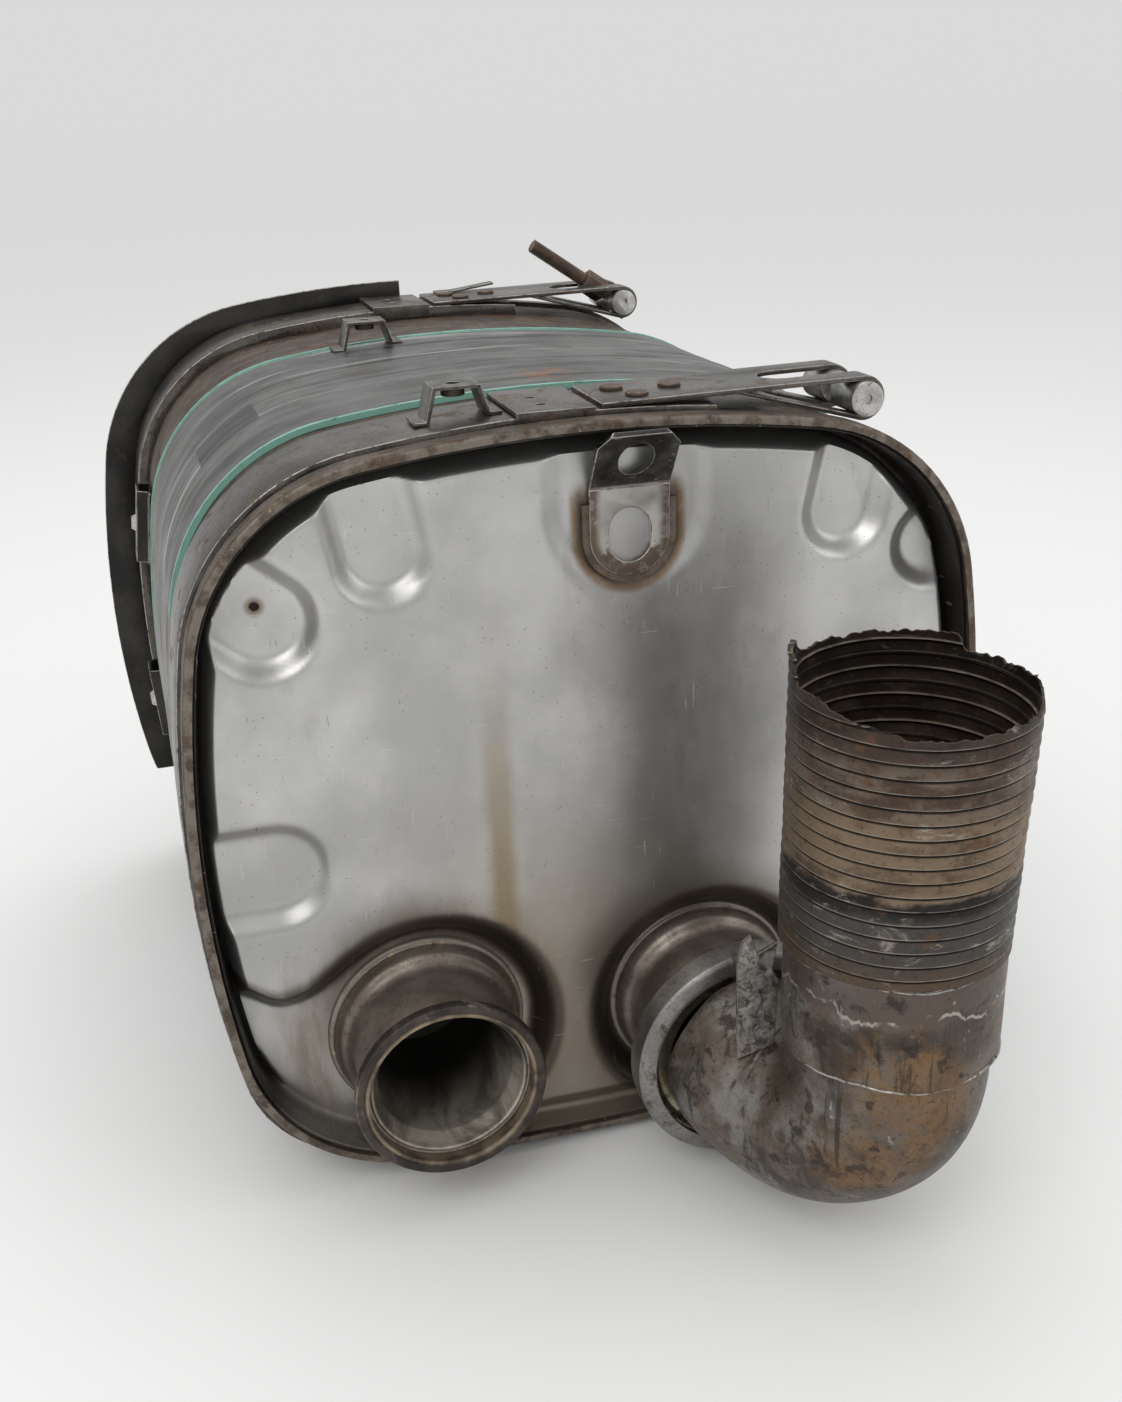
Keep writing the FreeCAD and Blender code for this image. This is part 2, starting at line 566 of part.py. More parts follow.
def t_bolt():
    """The stud through the rear pin: hexagon head, plain shank as far as the nut, then its thread."""
    body = new_body("rear_t_bolt")
    seat = "sizes.pin_radius + sizes.head_height"
    shank = "sizes.pin_radius + sizes.nut_height + sizes.thread_gap"
    drawing = sketch(body, "XY_Plane", [ring_line(0, 0, size("shank_radius"))], f"-({seat})")
    pad(body, drawing, f"{seat} + {shank}")
    pad(body, sketch(body, "XY_Plane", hexagon(), f"-({seat})"), "sizes.head_height")
    drawing = sketch(body, "XY_Plane", [ring_line(0, 0, size("stud_radius"))], shank)
    pad(body, drawing, f"sizes.stud_length - ({shank})")
    keep(body, "rear_t_bolt", stud_place(STRAPS[1][1], STRAPS[1][2]))
    nut = new_body("rear_t_bolt_nut")
    lines = hexagon() + [ring_line(0, 0, size("shank_radius"))]
    pad(nut, sketch(nut, "XY_Plane", lines, "sizes.pin_radius"), "sizes.nut_height")
    keep(nut, "rear_t_bolt_nut", stud_place(STRAPS[1][1], STRAPS[1][2]))


def hexagon():
    radius = size("nut_flats") / 2 / math.cos(math.radians(30))
    turns = [math.radians(60 * n) for n in range(6)]
    return polygon([(radius * math.cos(a), radius * math.sin(a)) for a in turns])


# Rivets of a loop: distance from the loop's end, and share of the strap's width
RIVETS = [(18, 0.62), (26, 0.25), (52, 0.5)]


def rivets(label, start, seat, rise):
    """Three rivet heads that hold the loop on the strap, as one group."""
    front = size(start.replace("sizes.", ""))
    lean = Rotation(Vector(0, 1, 0), -math.degrees(math.atan(rise)))
    domes = []
    for along, share in RIVETS:
        dome = doc.addObject("Part::Cylinder", label + "_head")
        dome.setExpression("Radius", "sizes.rivet_radius")
        dome.setExpression("Height", "sizes.rivet_height")
        base = Vector(seat.x + along, front + share * size("strap_width"), seat.z + along * rise)
        dome.Placement = Placement(base, lean)
        domes.append(dome)
    group = doc.addObject("Part::Compound", label)
    group.Links = domes
    keep(group, label)


# Clips, saddles and side brackets


def clip(label, start, height):
    """A plate over the strap whose two edges hook down towards the can."""
    body = new_body(label)
    front = size(start.replace("sizes.", "")) - size("clip_overlap")
    back = front + size("strap_width") + 2 * size("clip_overlap")
    seat = HALF_H + size(height)
    thick, drop = size("clip_sheet"), size(height) - size("clip_hook_gap")
    profile = [(front, seat + thick), (back, seat + thick), (back, seat - drop),
               (back - thick, seat - drop), (back - thick, seat), (front + thick, seat),
               (front + thick, seat - drop), (front, seat - drop)]
    pad(body, sketch(body, "YZ_Plane", polygon(profile), "sizes.clip_left_x"), "sizes.clip_width")
    x = size("clip_left_x") + size("clip_hole_set")
    holes = [ring_line(x, front + share * (back - front), size("clip_hole")) for share in (0.3, 0.62)]
    pocket(body, sketch(body, "XY_Plane", holes, "2 * sizes.body_height"))
    keep(body, label)


def saddle(label, y0, height):
    """A hat-shaped strip that stands on two feet, with a hole in its top."""
    body = new_body(label)
    x0, x1 = size("saddle_left_x"), size("saddle_left_x") + size("saddle_width")
    foot, thick, lean = size("saddle_foot"), size("saddle_sheet"), size("saddle_lean")
    low0 = top_height(x0 + thick, height) + size("seat_gap")
    low1 = top_height(min(x1 + foot, 0), height) + size("seat_gap")
    top = max(low0, low1) + size("saddle_rise")
    profile = [(x0 - foot, low0), (x0 + thick, low0), (x0 + lean + thick, top - thick),
               (x1 - lean - thick, top - thick), (x1 - thick, low1), (x1 + foot, low1),
               (x1 + foot, low1 + thick), (x1, low1 + thick), (x1 - lean, top), (x0 + lean, top),
               (x0, low0 + thick), (x0 - foot, low0 + thick)]
    pad(body, sketch(body, "XZ_Plane", polygon(profile), f"-({y0})"), "sizes.saddle_depth", back=True)
    middle = Vector((x0 + x1) / 2, y0 + size("saddle_depth") / 2, top - thick)
    hole = ring_line(middle.x, middle.y, size("saddle_hole"))
    pocket(body, sketch(body, "XY_Plane", [hole], "2 * sizes.body_height"))
    keep(body, label)
    return middle


def clinch_nut(label, place):
    """The nut that is pressed into a saddle's hole from below."""
    body = new_body(label)
    lines = [ring_line(0, 0, size("clinch_radius")), ring_line(0, 0, size("saddle_hole"))]
    pad(body, sketch(body, "XY_Plane", lines, "-sizes.clinch_length"), "sizes.clinch_length")
    keep(body, label, Placement(place, Rotation()))


def strap_tab(seat, rise):
    """A short bent tab on the rear loop's top face."""
    body = new_body("rear_strap_tab")
    x0, thick = size("tab_left_x"), size("tab_sheet")
    x1, root_x = x0 + size("tab_length"), x0 + size("tab_root")
    low = seat.z + (x0 - seat.x) * rise
    root = seat.z + (root_x - seat.x) * rise
    end = low + size("tab_rise")
    profile = [(x0, low), (root_x, root), (x1, end), (x1, end + thick),
               (root_x, root + thick), (x0, low + thick)]
    start = "-(sizes.rear_strap_front + sizes.tab_front)"
    pad(body, sketch(body, "XZ_Plane", polygon(profile), start), "sizes.tab_depth", back=True)
    keep(body, "rear_strap_tab")


def side_point(z):
    """Place and turn of a piece that lies on the crowned left side at height z."""
    side = size("crown_side")
    angle = math.asin(z / side)
    x = -(HALF_W - side + side * math.cos(angle))
    return Placement(Vector(x, 0, z), Rotation(Vector(0, 1, 0), math.degrees(angle)))


def side_bracket(label, height):
    """A slotted hat bracket, drawn in plan about its own middle height."""
    body = new_body(label)
    long = size("side_bracket_length")
    seat = (long / 2) ** 2 / (2 * size("crown_side")) + size("seat_gap")
    y0, y1 = size("side_bracket_y"), size("side_bracket_y") + size("side_bracket_depth")
    rise, thick = size("side_bracket_rise"), size("side_bracket_sheet")
    foot, lean = size("side_bracket_foot"), size("side_bracket_lean")
    profile = [(-seat, y0 - foot), (-seat, y0 + thick), (-seat - rise + thick, y0 + lean + thick),
               (-seat - rise + thick, y1 - lean - thick), (-seat, y1 - thick), (-seat, y1 + foot),
               (-seat - thick, y1 + foot), (-seat - thick, y1), (-seat - rise, y1 - lean),
               (-seat - rise, y0 + lean), (-seat - thick, y0), (-seat - thick, y0 - foot)]
    drawing = sketch(body, "XY_Plane", polygon(profile), "-sizes.side_bracket_length / 2")
    pad(body, drawing, "sizes.side_bracket_length")
    middle, half, reach = (y0 + y1) / 2, size("side_slot_width") / 2, long / 4
    slot = [arc(middle, -reach, half, math.pi, 2 * math.pi), arc(middle, reach, half, 0, math.pi),
            Part.LineSegment(Vector(middle + half, -reach, 0), Vector(middle + half, reach, 0)),
            Part.LineSegment(Vector(middle - half, reach, 0), Vector(middle - half, -reach, 0))]
    drawing = sketch(body, "YZ_Plane", slot, "-sizes.body_width")
    pocket(body, drawing, "sizes.body_width", back=True)
    where = side_point(size(height))
    keep(body, label, where)
    return where, Vector(-seat - rise, middle, 0)


def side_screws(places):
    """One screw in each side bracket's slot, as one group."""
    screws = []
    rise = size("side_bracket_rise")
    turn = Rotation(Vector(0, 1, 0), -90)
    for n, (where, face) in enumerate(places):
        head = doc.addObject("Part::Cone", f"screw_head_{n}")
        for key, name in (("Radius1", "radius"), ("Radius2", "tip"), ("Height", "height")):
            head.setExpression(key, "sizes.screw_" + name)
        shank = doc.addObject("Part::Cylinder", f"screw_shank_{n}")
        shank.setExpression("Radius", "sizes.side_slot_width / 2 - sizes.screw_clearance")
        shank.setExpression("Height", "sizes.side_bracket_rise")
        head.Placement = Placement(face, turn)
        shank.Placement = Placement(face + Vector(rise, 0, 0), turn)
        screw = doc.addObject("Part::Fuse", f"screw_{n}")
        screw.Base, screw.Tool = head, shank
        screw.Placement = where
        screws.append(screw)
    group = doc.addObject("Part::Compound", "side_bracket_screws")
    group.Links = screws
    keep(group, "side_bracket_screws")


# Lifting lug


def lifting_lug():
    body = new_body("lifting_lug")
    seat = size("panel_depth") + size("lug_recess_depth")
    thick, lean = size("lug_sheet"), size("lug_lean")
    foot, bend, top = size("lug_foot_z"), size("lug_bend_z"), size("lug_top_z")
    tilt = math.atan2(lean, top - bend)
    miter = thick * math.tan(tilt / 2)
    tip = (seat - lean - thick * math.cos(tilt), top - thick * math.sin(tilt))
    profile = [(seat, foot), (seat, bend), (seat - lean, top), tip, (seat - thick, bend - miter),
               (seat - thick, foot)]
    pad(body, sketch(body, "YZ_Plane", polygon(profile), "sizes.lug_x - sizes.lug_width / 2"),
        "sizes.lug_width")
    x, half, cut = size("lug_x"), size("lug_width") / 2, size("lug_chamfer")
    shape = [arc(x, foot + half, half, math.pi, 2 * math.pi),
             Part.LineSegment(Vector(x + half, foot + half, 0), Vector(x + half, top - cut, 0)),
             Part.LineSegment(Vector(x + half, top - cut, 0), Vector(x + half - cut, top, 0)),
             Part.LineSegment(Vector(x + half - cut, top, 0), Vector(x - half + cut, top, 0)),
             Part.LineSegment(Vector(x - half + cut, top, 0), Vector(x - half, top - cut, 0)),
             Part.LineSegment(Vector(x - half, top - cut, 0), Vector(x - half, foot + half, 0))]
    frame = rectangle(x - 3 * half, foot - half, x + 3 * half, top + half)
    pocket(body, sketch(body, "XZ_Plane", frame + shape, "sizes.body_width"), "2 * sizes.body_width")
    slot_z, r, rise = size("lug_slot_z"), size("lug_slot_radius"), size("lug_slot_rise") / 2
    holes = [ring_line(x, size("lug_eye_z"), size("lug_eye")), arc(x, slot_z + rise, r, 0, math.pi),
             arc(x, slot_z - rise, r, math.pi, 2 * math.pi),
             Part.LineSegment(Vector(x + r, slot_z - rise, 0), Vector(x + r, slot_z + rise, 0)),
             Part.LineSegment(Vector(x - r, slot_z + rise, 0), Vector(x - r, slot_z - rise, 0))]
    pocket(body, sketch(body, "XZ_Plane", holes, "sizes.body_width"), "2 * sizes.body_width")
    keep(body, "lifting_lug")
    weld = new_body("lug_weld")
    leg = size("weld_leg")
    ring = []
    for extra in (0, leg):
        r = half + extra
        ring.append(arc(x, foot + half, r, math.pi, 2 * math.pi))
    high = bend - size("weld_stop")
    for sign in (-1, 1):
        a, b = x + sign * half, x + sign * (half + leg)
        ring += [Part.LineSegment(Vector(a, foot + half, 0), Vector(a, high, 0)),
                 Part.LineSegment(Vector(a, high, 0), Vector(b, high, 0)),
                 Part.LineSegment(Vector(b, high, 0), Vector(b, foot + half, 0))]
    start = "-(sizes.panel_depth + sizes.lug_recess_depth - sizes.weld_leg * 0.75)"
    pad(weld, sketch(weld, "XZ_Plane", ring, start), "sizes.weld_leg * 0.75", back=True)
    keep(weld, "lug_weld")


# Inlet and outlet


def turned(label, profile, base):
    """A piece turned about an axis that points out of the cap; profile is (radius, height)."""
    body = new_body(label)
    revolve(body, sketch(body, "XZ_Plane", polygon(profile)))
    return keep(body, label, Placement(base, OUT_OF_CAP))


def collar(label, x, z, reach):
    """A drawn collar: seat flange, wide neck, shoulder and port."""
    t, r, neck = size("port_sheet"), size("port_radius"), size("neck_radius")
    floor = size("panel_depth") + size("recess_depth")
    lip, h1 = neck + size("collar_lip"), size("neck_reach")
    h2, end = h1 + size("shoulder_length"), floor + reach
    slip = t * math.tan(math.atan2(h2 - h1, neck - r) / 2)
    profile = [(neck - t, 0), (lip, 0), (lip, t), (neck, t), (neck, h1), (r, h2), (r, end),
               (r - t, end), (r - t, h2 - slip), (neck - t, h1 - slip)]
    turned(label, profile, Vector(size(x), floor, size(z)))


def inlet():
    flange = size("flange_length")
    collar("inlet_collar", "inlet_x", "inlet_z", size("inlet_reach") - flange)
    inner, outer = size("port_radius") - size("port_sheet"), size("flange_radius")
    base = Vector(size("inlet_x"), -size("inlet_reach") + flange, size("inlet_z"))
    step, cut = size("flange_step"), size("flange_chamfer")
    profile = [(inner + step - cut, 0), (outer - step, 0), (outer, step), (outer, flange - step),
               (outer - step, flange), (inner + step, flange), (inner + step, cut)]
    turned("inlet_flange_ring", profile, base)
    sleeve, depth = size("sleeve_radius"), size("can_front_set") + size("inlet_reach") - flange
    t, flare = size("sleeve_sheet"), size("sleeve_flare")
    profile = [(sleeve - t, -depth), (sleeve, -depth), (sleeve, -2 * flare), (inner, -flare), (inner, 0),
               (inner - t, 0), (inner - t, t - flare), (sleeve - t, t - 2 * flare)]
    turned("inlet_sleeve", profile, base)


def clamp_face():
    """Depth of the clamp's front face."""
    return -size("outlet_reach") + size("clamp_taper") - size("clamp_lip")


def outlet():
    clamp = size("clamp_length")
    collar("outlet_collar", "outlet_x", "outlet_z", size("outlet_reach") - clamp / 2)
    r, t, c = size("port_radius"), size("clamp_sheet"), size("clamp_radius")
    base = Vector(size("outlet_x"), -size("outlet_reach") + clamp / 2, size("outlet_z"))
    flat, lip, seat = clamp / 2 - size("clamp_taper"), size("clamp_lip"), size("clamp_seat")
    mouth = size("ring_radius")
    profile = [(r, -flat - lip), (r + seat, -flat - lip), (c - t, -flat), (c - t, flat),
               (mouth, flat + lip), (mouth + t, flat + lip), (c, flat + t / 3), (c, -flat - t / 3),
               (r + seat + t, -flat - 2 * lip), (r, -flat - 2 * lip)]
    turned("outlet_clamp", profile, base)
    ring, length, outer = mouth, size("ring_length"), c - t - size("ring_gap")
    inner, taper = r - size("port_sheet"), size("ring_taper")
    profile = [(inner, 0), (outer - taper, 0), (outer, taper), (outer, length), (ring, length),
               (ring - taper, length / 2), (inner, length / 2)]
    turned("outlet_seal_ring", profile, base)


def elbow_path():
    """Centre line: a short dipping run, then one arc that turns upright into the hose's axis."""
    start = Vector(size("outlet_x"), -size("outlet_reach"), size("outlet_z"))
    flat = Vector(size("hose_x") - start.x, size("hose_y") - start.y, 0)
    dip, bend = math.radians(size("elbow_dip")), size("elbow_bend")
    run = (flat.Length - bend * (1 + math.sin(dip))) / math.cos(dip)
    flat.normalize()
    heading = flat * math.cos(dip) - Vector(0, 0, math.sin(dip))
    lift = flat * math.sin(dip) + Vector(0, 0, math.cos(dip))
    first = start + heading * run
    centre = first + lift * bend
    half = math.radians((90 + size("elbow_dip")) / 2)
    down = math.radians(-90 - size("elbow_dip")) + half

    def on_arc(angle):
        return centre + flat * math.cos(angle) * bend + Vector(0, 0, math.sin(angle)) * bend

    middle, last = on_arc(down), on_arc(0)
    top = Vector(last.x, last.y, size("seam_z"))
    path = Part.Wire([Part.LineSegment(start, first).toShape(),
                      Part.Arc(first, middle, last).toShape(),
                      Part.LineSegment(last, top).toShape()])
    return path, start, heading


def elbow():
    """The elbow is a bent tube, so it is swept along its centre line."""
    path, start, heading = elbow_path()
    solids = []
    for radius in (size("elbow_radius"), size("elbow_radius") - size("elbow_sheet")):
        rim = Part.Wire([Part.Circle(start, heading, radius).toShape()])
        solids.append(path.makePipeShell([rim], True, True))
    piece = doc.addObject("Part::Feature", "outlet_elbow")
    cut = clamp_face() - size("elbow_gap")
    behind = Part.makeBox(FAR, FAR, FAR, Vector(-FAR / 2, cut, -FAR))
    piece.Shape = solids[0].cut(solids[1]).cut(behind)
    keep(piece, "outlet_elbow")


# Torn edge of the tab beside the elbow, as shares of its width and height
TORN_TAB = [(0, 0), (0.92, 0.095), (1, 0.62), (0.84, 0.71), (0.96, 0.93), (0.48, 0.845), (0.32, 1),
            (0.12, 0.95), (0, 0.785)]


def elbow_tab():
    """A torn bracket tab that stands on the elbow's shoulder."""
    body = new_body("elbow_tab")
    edge = [(x * size("torn_tab_width"), z * size("torn_tab_height")) for x, z in TORN_TAB]
    pad(body, sketch(body, "XZ_Plane", polygon(edge)), "sizes.torn_tab_sheet")
    turn, radius = math.radians(size("torn_tab_turn")), size("elbow_radius")
    base = Vector(size("outlet_x") + radius * math.cos(turn) - size("torn_tab_back"),
                  -size("outlet_reach") - size("torn_tab_reach"),
                  size("outlet_z") + radius * math.sin(turn) - size("torn_tab_drop"))
    keep(body, "elbow_tab", Placement(base, Rotation(Vector(0, 0, 1), -8)))


def hose_cuff():
    """The cuff that laps over the elbow's end and carries the hose."""
    body = new_body("hose_cuff")
    lines = [ring_line(size("hose_x"), size("hose_y"), size(name))
             for name in ("cuff_radius", "elbow_radius")]
    pad(body, sketch(body, "XY_Plane", lines, "sizes.seam_z - sizes.cuff_lap"),
        "sizes.cuff_length + sizes.cuff_lap")
    keep(body, "hose_cuff")


# Torn edge of the hose seen from the front: shares of the hose's radius, and heights
TORN_FRONT = [(-1.4, 62), (-1.05, 60), (-0.95, 36), (-0.83, 33), (-0.63, 20), (-0.35, 12), (-0.08, 10),
              (0.19, 12), (0.48, 9), (0.76, 6), (0.98, 8), (1.4, 10)]


def flex_hose():
    """Strip-wound hose: turned bands that step in and out, torn off at the top."""
    body = new_body("flex_hose")
    base, top, wall = size("cuff_top_z"), size("hose_top_z"), size("hose_wall")
    pitch, step = size("band_pitch"), size("band_step")
    count = int((top - base) / pitch)

    def radius(height):
        return size("hose_radius") + size("hose_flare") * (height - base) / (top - base)

    outer = [(radius(base), base)]
    for n in range(count):
        low = base + n * pitch
        r = radius(low)
        outer += [(r, low + pitch * 0.12), (r + step, low + pitch * 0.3),
                  (r + step, low + pitch * 0.8), (r, low + pitch)]
    end = outer[-1][1]
    grip = radius(base) - wall - step
    profile = outer + [(radius(end) - wall - step, end), (grip, base + size("hose_grip")), (grip, base)]
    revolve(body, sketch(body, "XZ_Plane", polygon(profile)))
    low = top - size("torn_drop")
    torn = [(share * size("hose_radius"), low + z) for share, z in TORN_FRONT]
    torn += [(torn[-1][0], top + FAR), (torn[0][0], top + FAR)]
    drawing = sketch(body, "XZ_Plane", polygon(torn), "sizes.body_width")
    pocket(body, drawing, "2 * sizes.body_width")
    keep(body, "flex_hose", Placement(Vector(size("hose_x"), size("hose_y"), 0), Rotation()))


def build():
    shell()
    front_end_cap()
    rear_end_cap()
    liner()
    core()
    heat_shield()
    edge_tapes()
    rear_rim_guard()
    for name, start, height in STRAPS:
        strap(name + "_strap", start, size(height))
        seat, rise = strap_loop(name + "_strap_loop", start, height)
        rivets(name + "_loop_rivets", start, seat, rise)
        clip(name + "_strap_clip", start, height)
    strap_tab(seat, rise)
    pin("front_trunnion", STRAPS[0][1], STRAPS[0][2], 0)
    pin("rear_trunnion", STRAPS[1][1], STRAPS[1][2], size("stud_angle"))
    t_bolt()
    seat = size("strap_front") + size("saddle_set")
    clinch_nut("front_saddle_nut", saddle("front_saddle", seat, size("strap_height")))
    seat = size("shield_front") + size("shield_length") - 2 * size("tape_width") - size("saddle_depth")
    clinch_nut("rear_saddle_nut", saddle("rear_saddle", seat, size("shield_height")))
    places = [side_bracket("upper_side_bracket", "upper_bracket_z"),
              side_bracket("lower_side_bracket", "lower_bracket_z")]
    side_screws(places)
    lifting_lug()
    inlet()
    outlet()
    elbow()
    elbow_tab()
    hose_cuff()
    flex_hose()


build()
doc.recompute()
for item in doc.Objects:
    if "Invalid" in item.State or "Error" in item.State:
        raise RuntimeError(f"{item.Label} has failed")
for node in NODES:
    if node.Shape.isNull() or not node.Shape.isValid():
        raise RuntimeError(f"{node.Label} has no valid shape")
os.makedirs("parts", exist_ok=True)
for node in NODES:
    node.Shape.exportStep(f"parts/{node.Label}.step")
    box = node.Shape.BoundBox
    print(f"{node.Label}: {len(node.Shape.Solids)} solid(s), {node.Shape.Volume / 1000:.1f} cm3, "
          f"x {box.XMin:.0f}..{box.XMax:.0f}, y {box.YMin:.0f}..{box.YMax:.0f}, "
          f"z {box.ZMin:.0f}..{box.ZMax:.0f}")
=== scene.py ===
import json
import math

import bmesh
import bpy
from bpy.props import FloatProperty, FloatVectorProperty
from mathutils import Matrix, Vector, noise


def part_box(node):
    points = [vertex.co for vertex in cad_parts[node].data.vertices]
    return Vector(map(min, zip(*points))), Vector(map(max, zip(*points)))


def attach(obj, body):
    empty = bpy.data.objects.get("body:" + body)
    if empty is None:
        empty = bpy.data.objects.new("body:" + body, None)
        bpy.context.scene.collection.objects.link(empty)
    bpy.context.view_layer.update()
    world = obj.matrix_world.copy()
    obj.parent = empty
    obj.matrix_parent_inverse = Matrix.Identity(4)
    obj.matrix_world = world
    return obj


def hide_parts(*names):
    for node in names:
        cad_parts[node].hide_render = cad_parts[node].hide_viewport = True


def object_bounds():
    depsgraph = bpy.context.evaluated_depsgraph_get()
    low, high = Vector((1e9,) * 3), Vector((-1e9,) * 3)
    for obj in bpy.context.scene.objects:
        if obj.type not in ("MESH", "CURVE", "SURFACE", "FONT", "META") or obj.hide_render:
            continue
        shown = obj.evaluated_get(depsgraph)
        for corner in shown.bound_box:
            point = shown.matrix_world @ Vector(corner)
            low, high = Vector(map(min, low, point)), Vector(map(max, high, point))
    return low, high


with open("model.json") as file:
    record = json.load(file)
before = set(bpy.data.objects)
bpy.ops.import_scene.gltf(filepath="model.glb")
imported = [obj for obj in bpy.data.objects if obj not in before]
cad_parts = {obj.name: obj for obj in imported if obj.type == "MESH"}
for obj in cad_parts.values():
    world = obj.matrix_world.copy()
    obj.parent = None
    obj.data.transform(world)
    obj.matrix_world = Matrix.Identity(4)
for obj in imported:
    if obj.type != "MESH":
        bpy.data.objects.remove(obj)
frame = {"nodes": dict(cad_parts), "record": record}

bl_info = {
    "name": "Aftertreatment can",
    "version": (1, 0, 0),
    "blender": (4, 5, 0),
    "location": "View3D > Sidebar > Can",
    "description": "Dresses the strapped exhaust can: pressed cap, shield, straps, ports and torn hose",
    "category": "Object",
}

CAD_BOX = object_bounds()
MM = 0.001
TAU = 2 * math.pi

# The can's outline, in millimetres from the centre of the front rim
SHELL_LOW, SHELL_HIGH = (Vector(corner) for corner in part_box("shell"))
RIM_PROUD = 3.5
RIM = Vector(((SHELL_LOW.x + SHELL_HIGH.x) / 2, SHELL_LOW.y, (SHELL_LOW.z + SHELL_HIGH.z) / 2))
HALF_W = (SHELL_HIGH.x - SHELL_LOW.x) / 2 / MM - RIM_PROUD
HALF_H = (SHELL_HIGH.z - SHELL_LOW.z) / 2 / MM - RIM_PROUD
CROWN_TOP, CROWN_LOW, CROWN_SIDE = 890, 1790, 777
CORNER_TOP, CORNER_LOW = 122, 114
INLET = Vector((-118.5, 0, -151.5))
OUTLET = Vector((71, 0, -161))
PORT_RADIUS = 52
INLET_RECESS, OUTLET_RECESS = 76, 71
PANEL_DEPTH, GUTTER_DEPTH, RECESS_DEPTH, CAP_SHEET = 14.0, 38.0, 16.0, 1.4
LUG_X, LUG_LOW, LUG_HIGH = 21, 168, 190
PIN_HOLE = Vector((-200, 0, 147))


def place(x, y, z):
    """A point given in millimetres from the centre of the front rim, in the frame."""
    return RIM + Vector((x, y, z)) * MM


def corner_centre(crown, corner):
    """Centre of a corner arc that is tangent to its crown and to the side."""
    from_crown, from_side = crown - corner, CROWN_SIDE - corner
    a, b = Vector((0, HALF_H - crown)), Vector((HALF_W - CROWN_SIDE, 0))
    across = b - a
    along = (from_crown**2 - from_side**2 + across.length_squared) / (2 * across.length)
    off = math.sqrt(from_crown**2 - along**2)
    unit = across.normalized()
    normal = Vector((-unit.y, unit.x))
    return max((a + unit * along + normal * s * off for s in (1, -1)), key=lambda p: p.x + p.y)


def outline_arcs():
    """The outline as (centre x, centre z, radius, start angle, end angle), anticlockwise."""
    quarter = []
    for crown, corner in ((CROWN_TOP, CORNER_TOP), (CROWN_LOW, CORNER_LOW)):
        c = corner_centre(crown, corner)
        steep = math.atan2(c.y - (HALF_H - crown), c.x)
        flat = math.atan2(c.y, c.x - (HALF_W - CROWN_SIDE))
        quarter.append((c, crown, corner, steep, flat))
    (ct, top, rt, st, ft), (cl, low, rl, sl, fl) = quarter
    side_x, pi = HALF_W - CROWN_SIDE, math.pi
    return [(side_x, 0, CROWN_SIDE, 0, ft), (ct.x, ct.y, rt, ft, st), (0, HALF_H - top, top, st, pi - st),
            (-ct.x, ct.y, rt, pi - st, pi - ft), (-side_x, 0, CROWN_SIDE, pi - ft, pi + fl),
            (-cl.x, -cl.y, rl, pi + fl, pi + sl), (0, low - HALF_H, low, pi + sl, 2 * pi - sl),
            (cl.x, -cl.y, rl, 2 * pi - sl, 2 * pi - fl), (side_x, 0, CROWN_SIDE, -fl, 0)]


ARCS = outline_arcs()
ARC_LENGTHS = [arc[2] * (arc[4] - arc[3]) for arc in ARCS]


def outline(turn, grow=0.0):
    """Point of the outline at a share of its length, grow millimetres outside it."""
    left = (turn % 1.0) * sum(ARC_LENGTHS)
    for (cx, cz, r, a0, a1), length in zip(ARCS, ARC_LENGTHS):
        if left <= length:
            angle = a0 + (a1 - a0) * left / length
            return Vector((cx + (r + grow) * math.cos(angle), cz + (r + grow) * math.sin(angle)))
        left -= length
    return Vector((HALF_W + grow, 0))


def smooth(value, low, high):
    """0 below low, 1 above high, and a soft step between them."""
    t = min(max((value - low) / (high - low), 0), 1)
    return t * t * (3 - 2 * t)


def wobble(x, y, z, size, seed=0.0):
    """Soft noise from -1 to 1 with lumps of about the given size in millimetres."""
    return noise.noise(Vector((x / size + seed, y / size, z / size - seed)))


# Mesh tools


def skin(segments, rings, close=False, marks=None):
    """Extrude a circle of points ring by ring; marks gives each ring's value of the attribute "edge"."""
    bm = bmesh.new()
    turn = bm.verts.layers.float.new("turn")
    edge = bm.verts.layers.float.new("edge") if marks else None
    bmesh.ops.create_circle(bm, cap_ends=False, radius=1, segments=segments)
    for vert in bm.verts:
        vert[turn] = (math.atan2(vert.co.y, vert.co.x) % TAU) / TAU
    for vert in bm.verts:
        vert.co = rings[0](vert[turn])
        if marks:
            vert[edge] = marks[0]
    first = bm.edges[:]
    edges = first
    for n, ring in enumerate(rings[1:], 1):
        grown = bmesh.ops.extrude_edge_only(bm, edges=edges)["geom"]
        edges = [e for e in grown if isinstance(e, bmesh.types.BMEdge) and e.is_boundary]
        for vert in (v for v in grown if isinstance(v, bmesh.types.BMVert)):
            vert.co = ring(vert[turn])
            if marks:
                vert[edge] = marks[n]
    if close:
        bmesh.ops.bridge_loops(bm, edges=first + edges)
    bm.verts.layers.float.remove(turn)
    return bm


def turned(profile, centre, axis, steps=128):
    """Spin a closed profile of (radius, height) in millimetres about an axis through centre."""
    bm = bmesh.new()
    side = axis.orthogonal().normalized()
    verts = [bm.verts.new(centre + side * r * MM + axis * h * MM) for r, h in profile]
    edges = [bm.edges.new(pair) for pair in zip(verts, verts[1:] + verts[:1])]
    bmesh.ops.spin(bm, geom=verts + edges, cent=centre, axis=axis, angle=TAU, steps=steps, use_merge=True)
    bmesh.ops.remove_doubles(bm, verts=bm.verts, dist=1e-6)
    bmesh.ops.recalc_face_normals(bm, faces=bm.faces)
    return bm


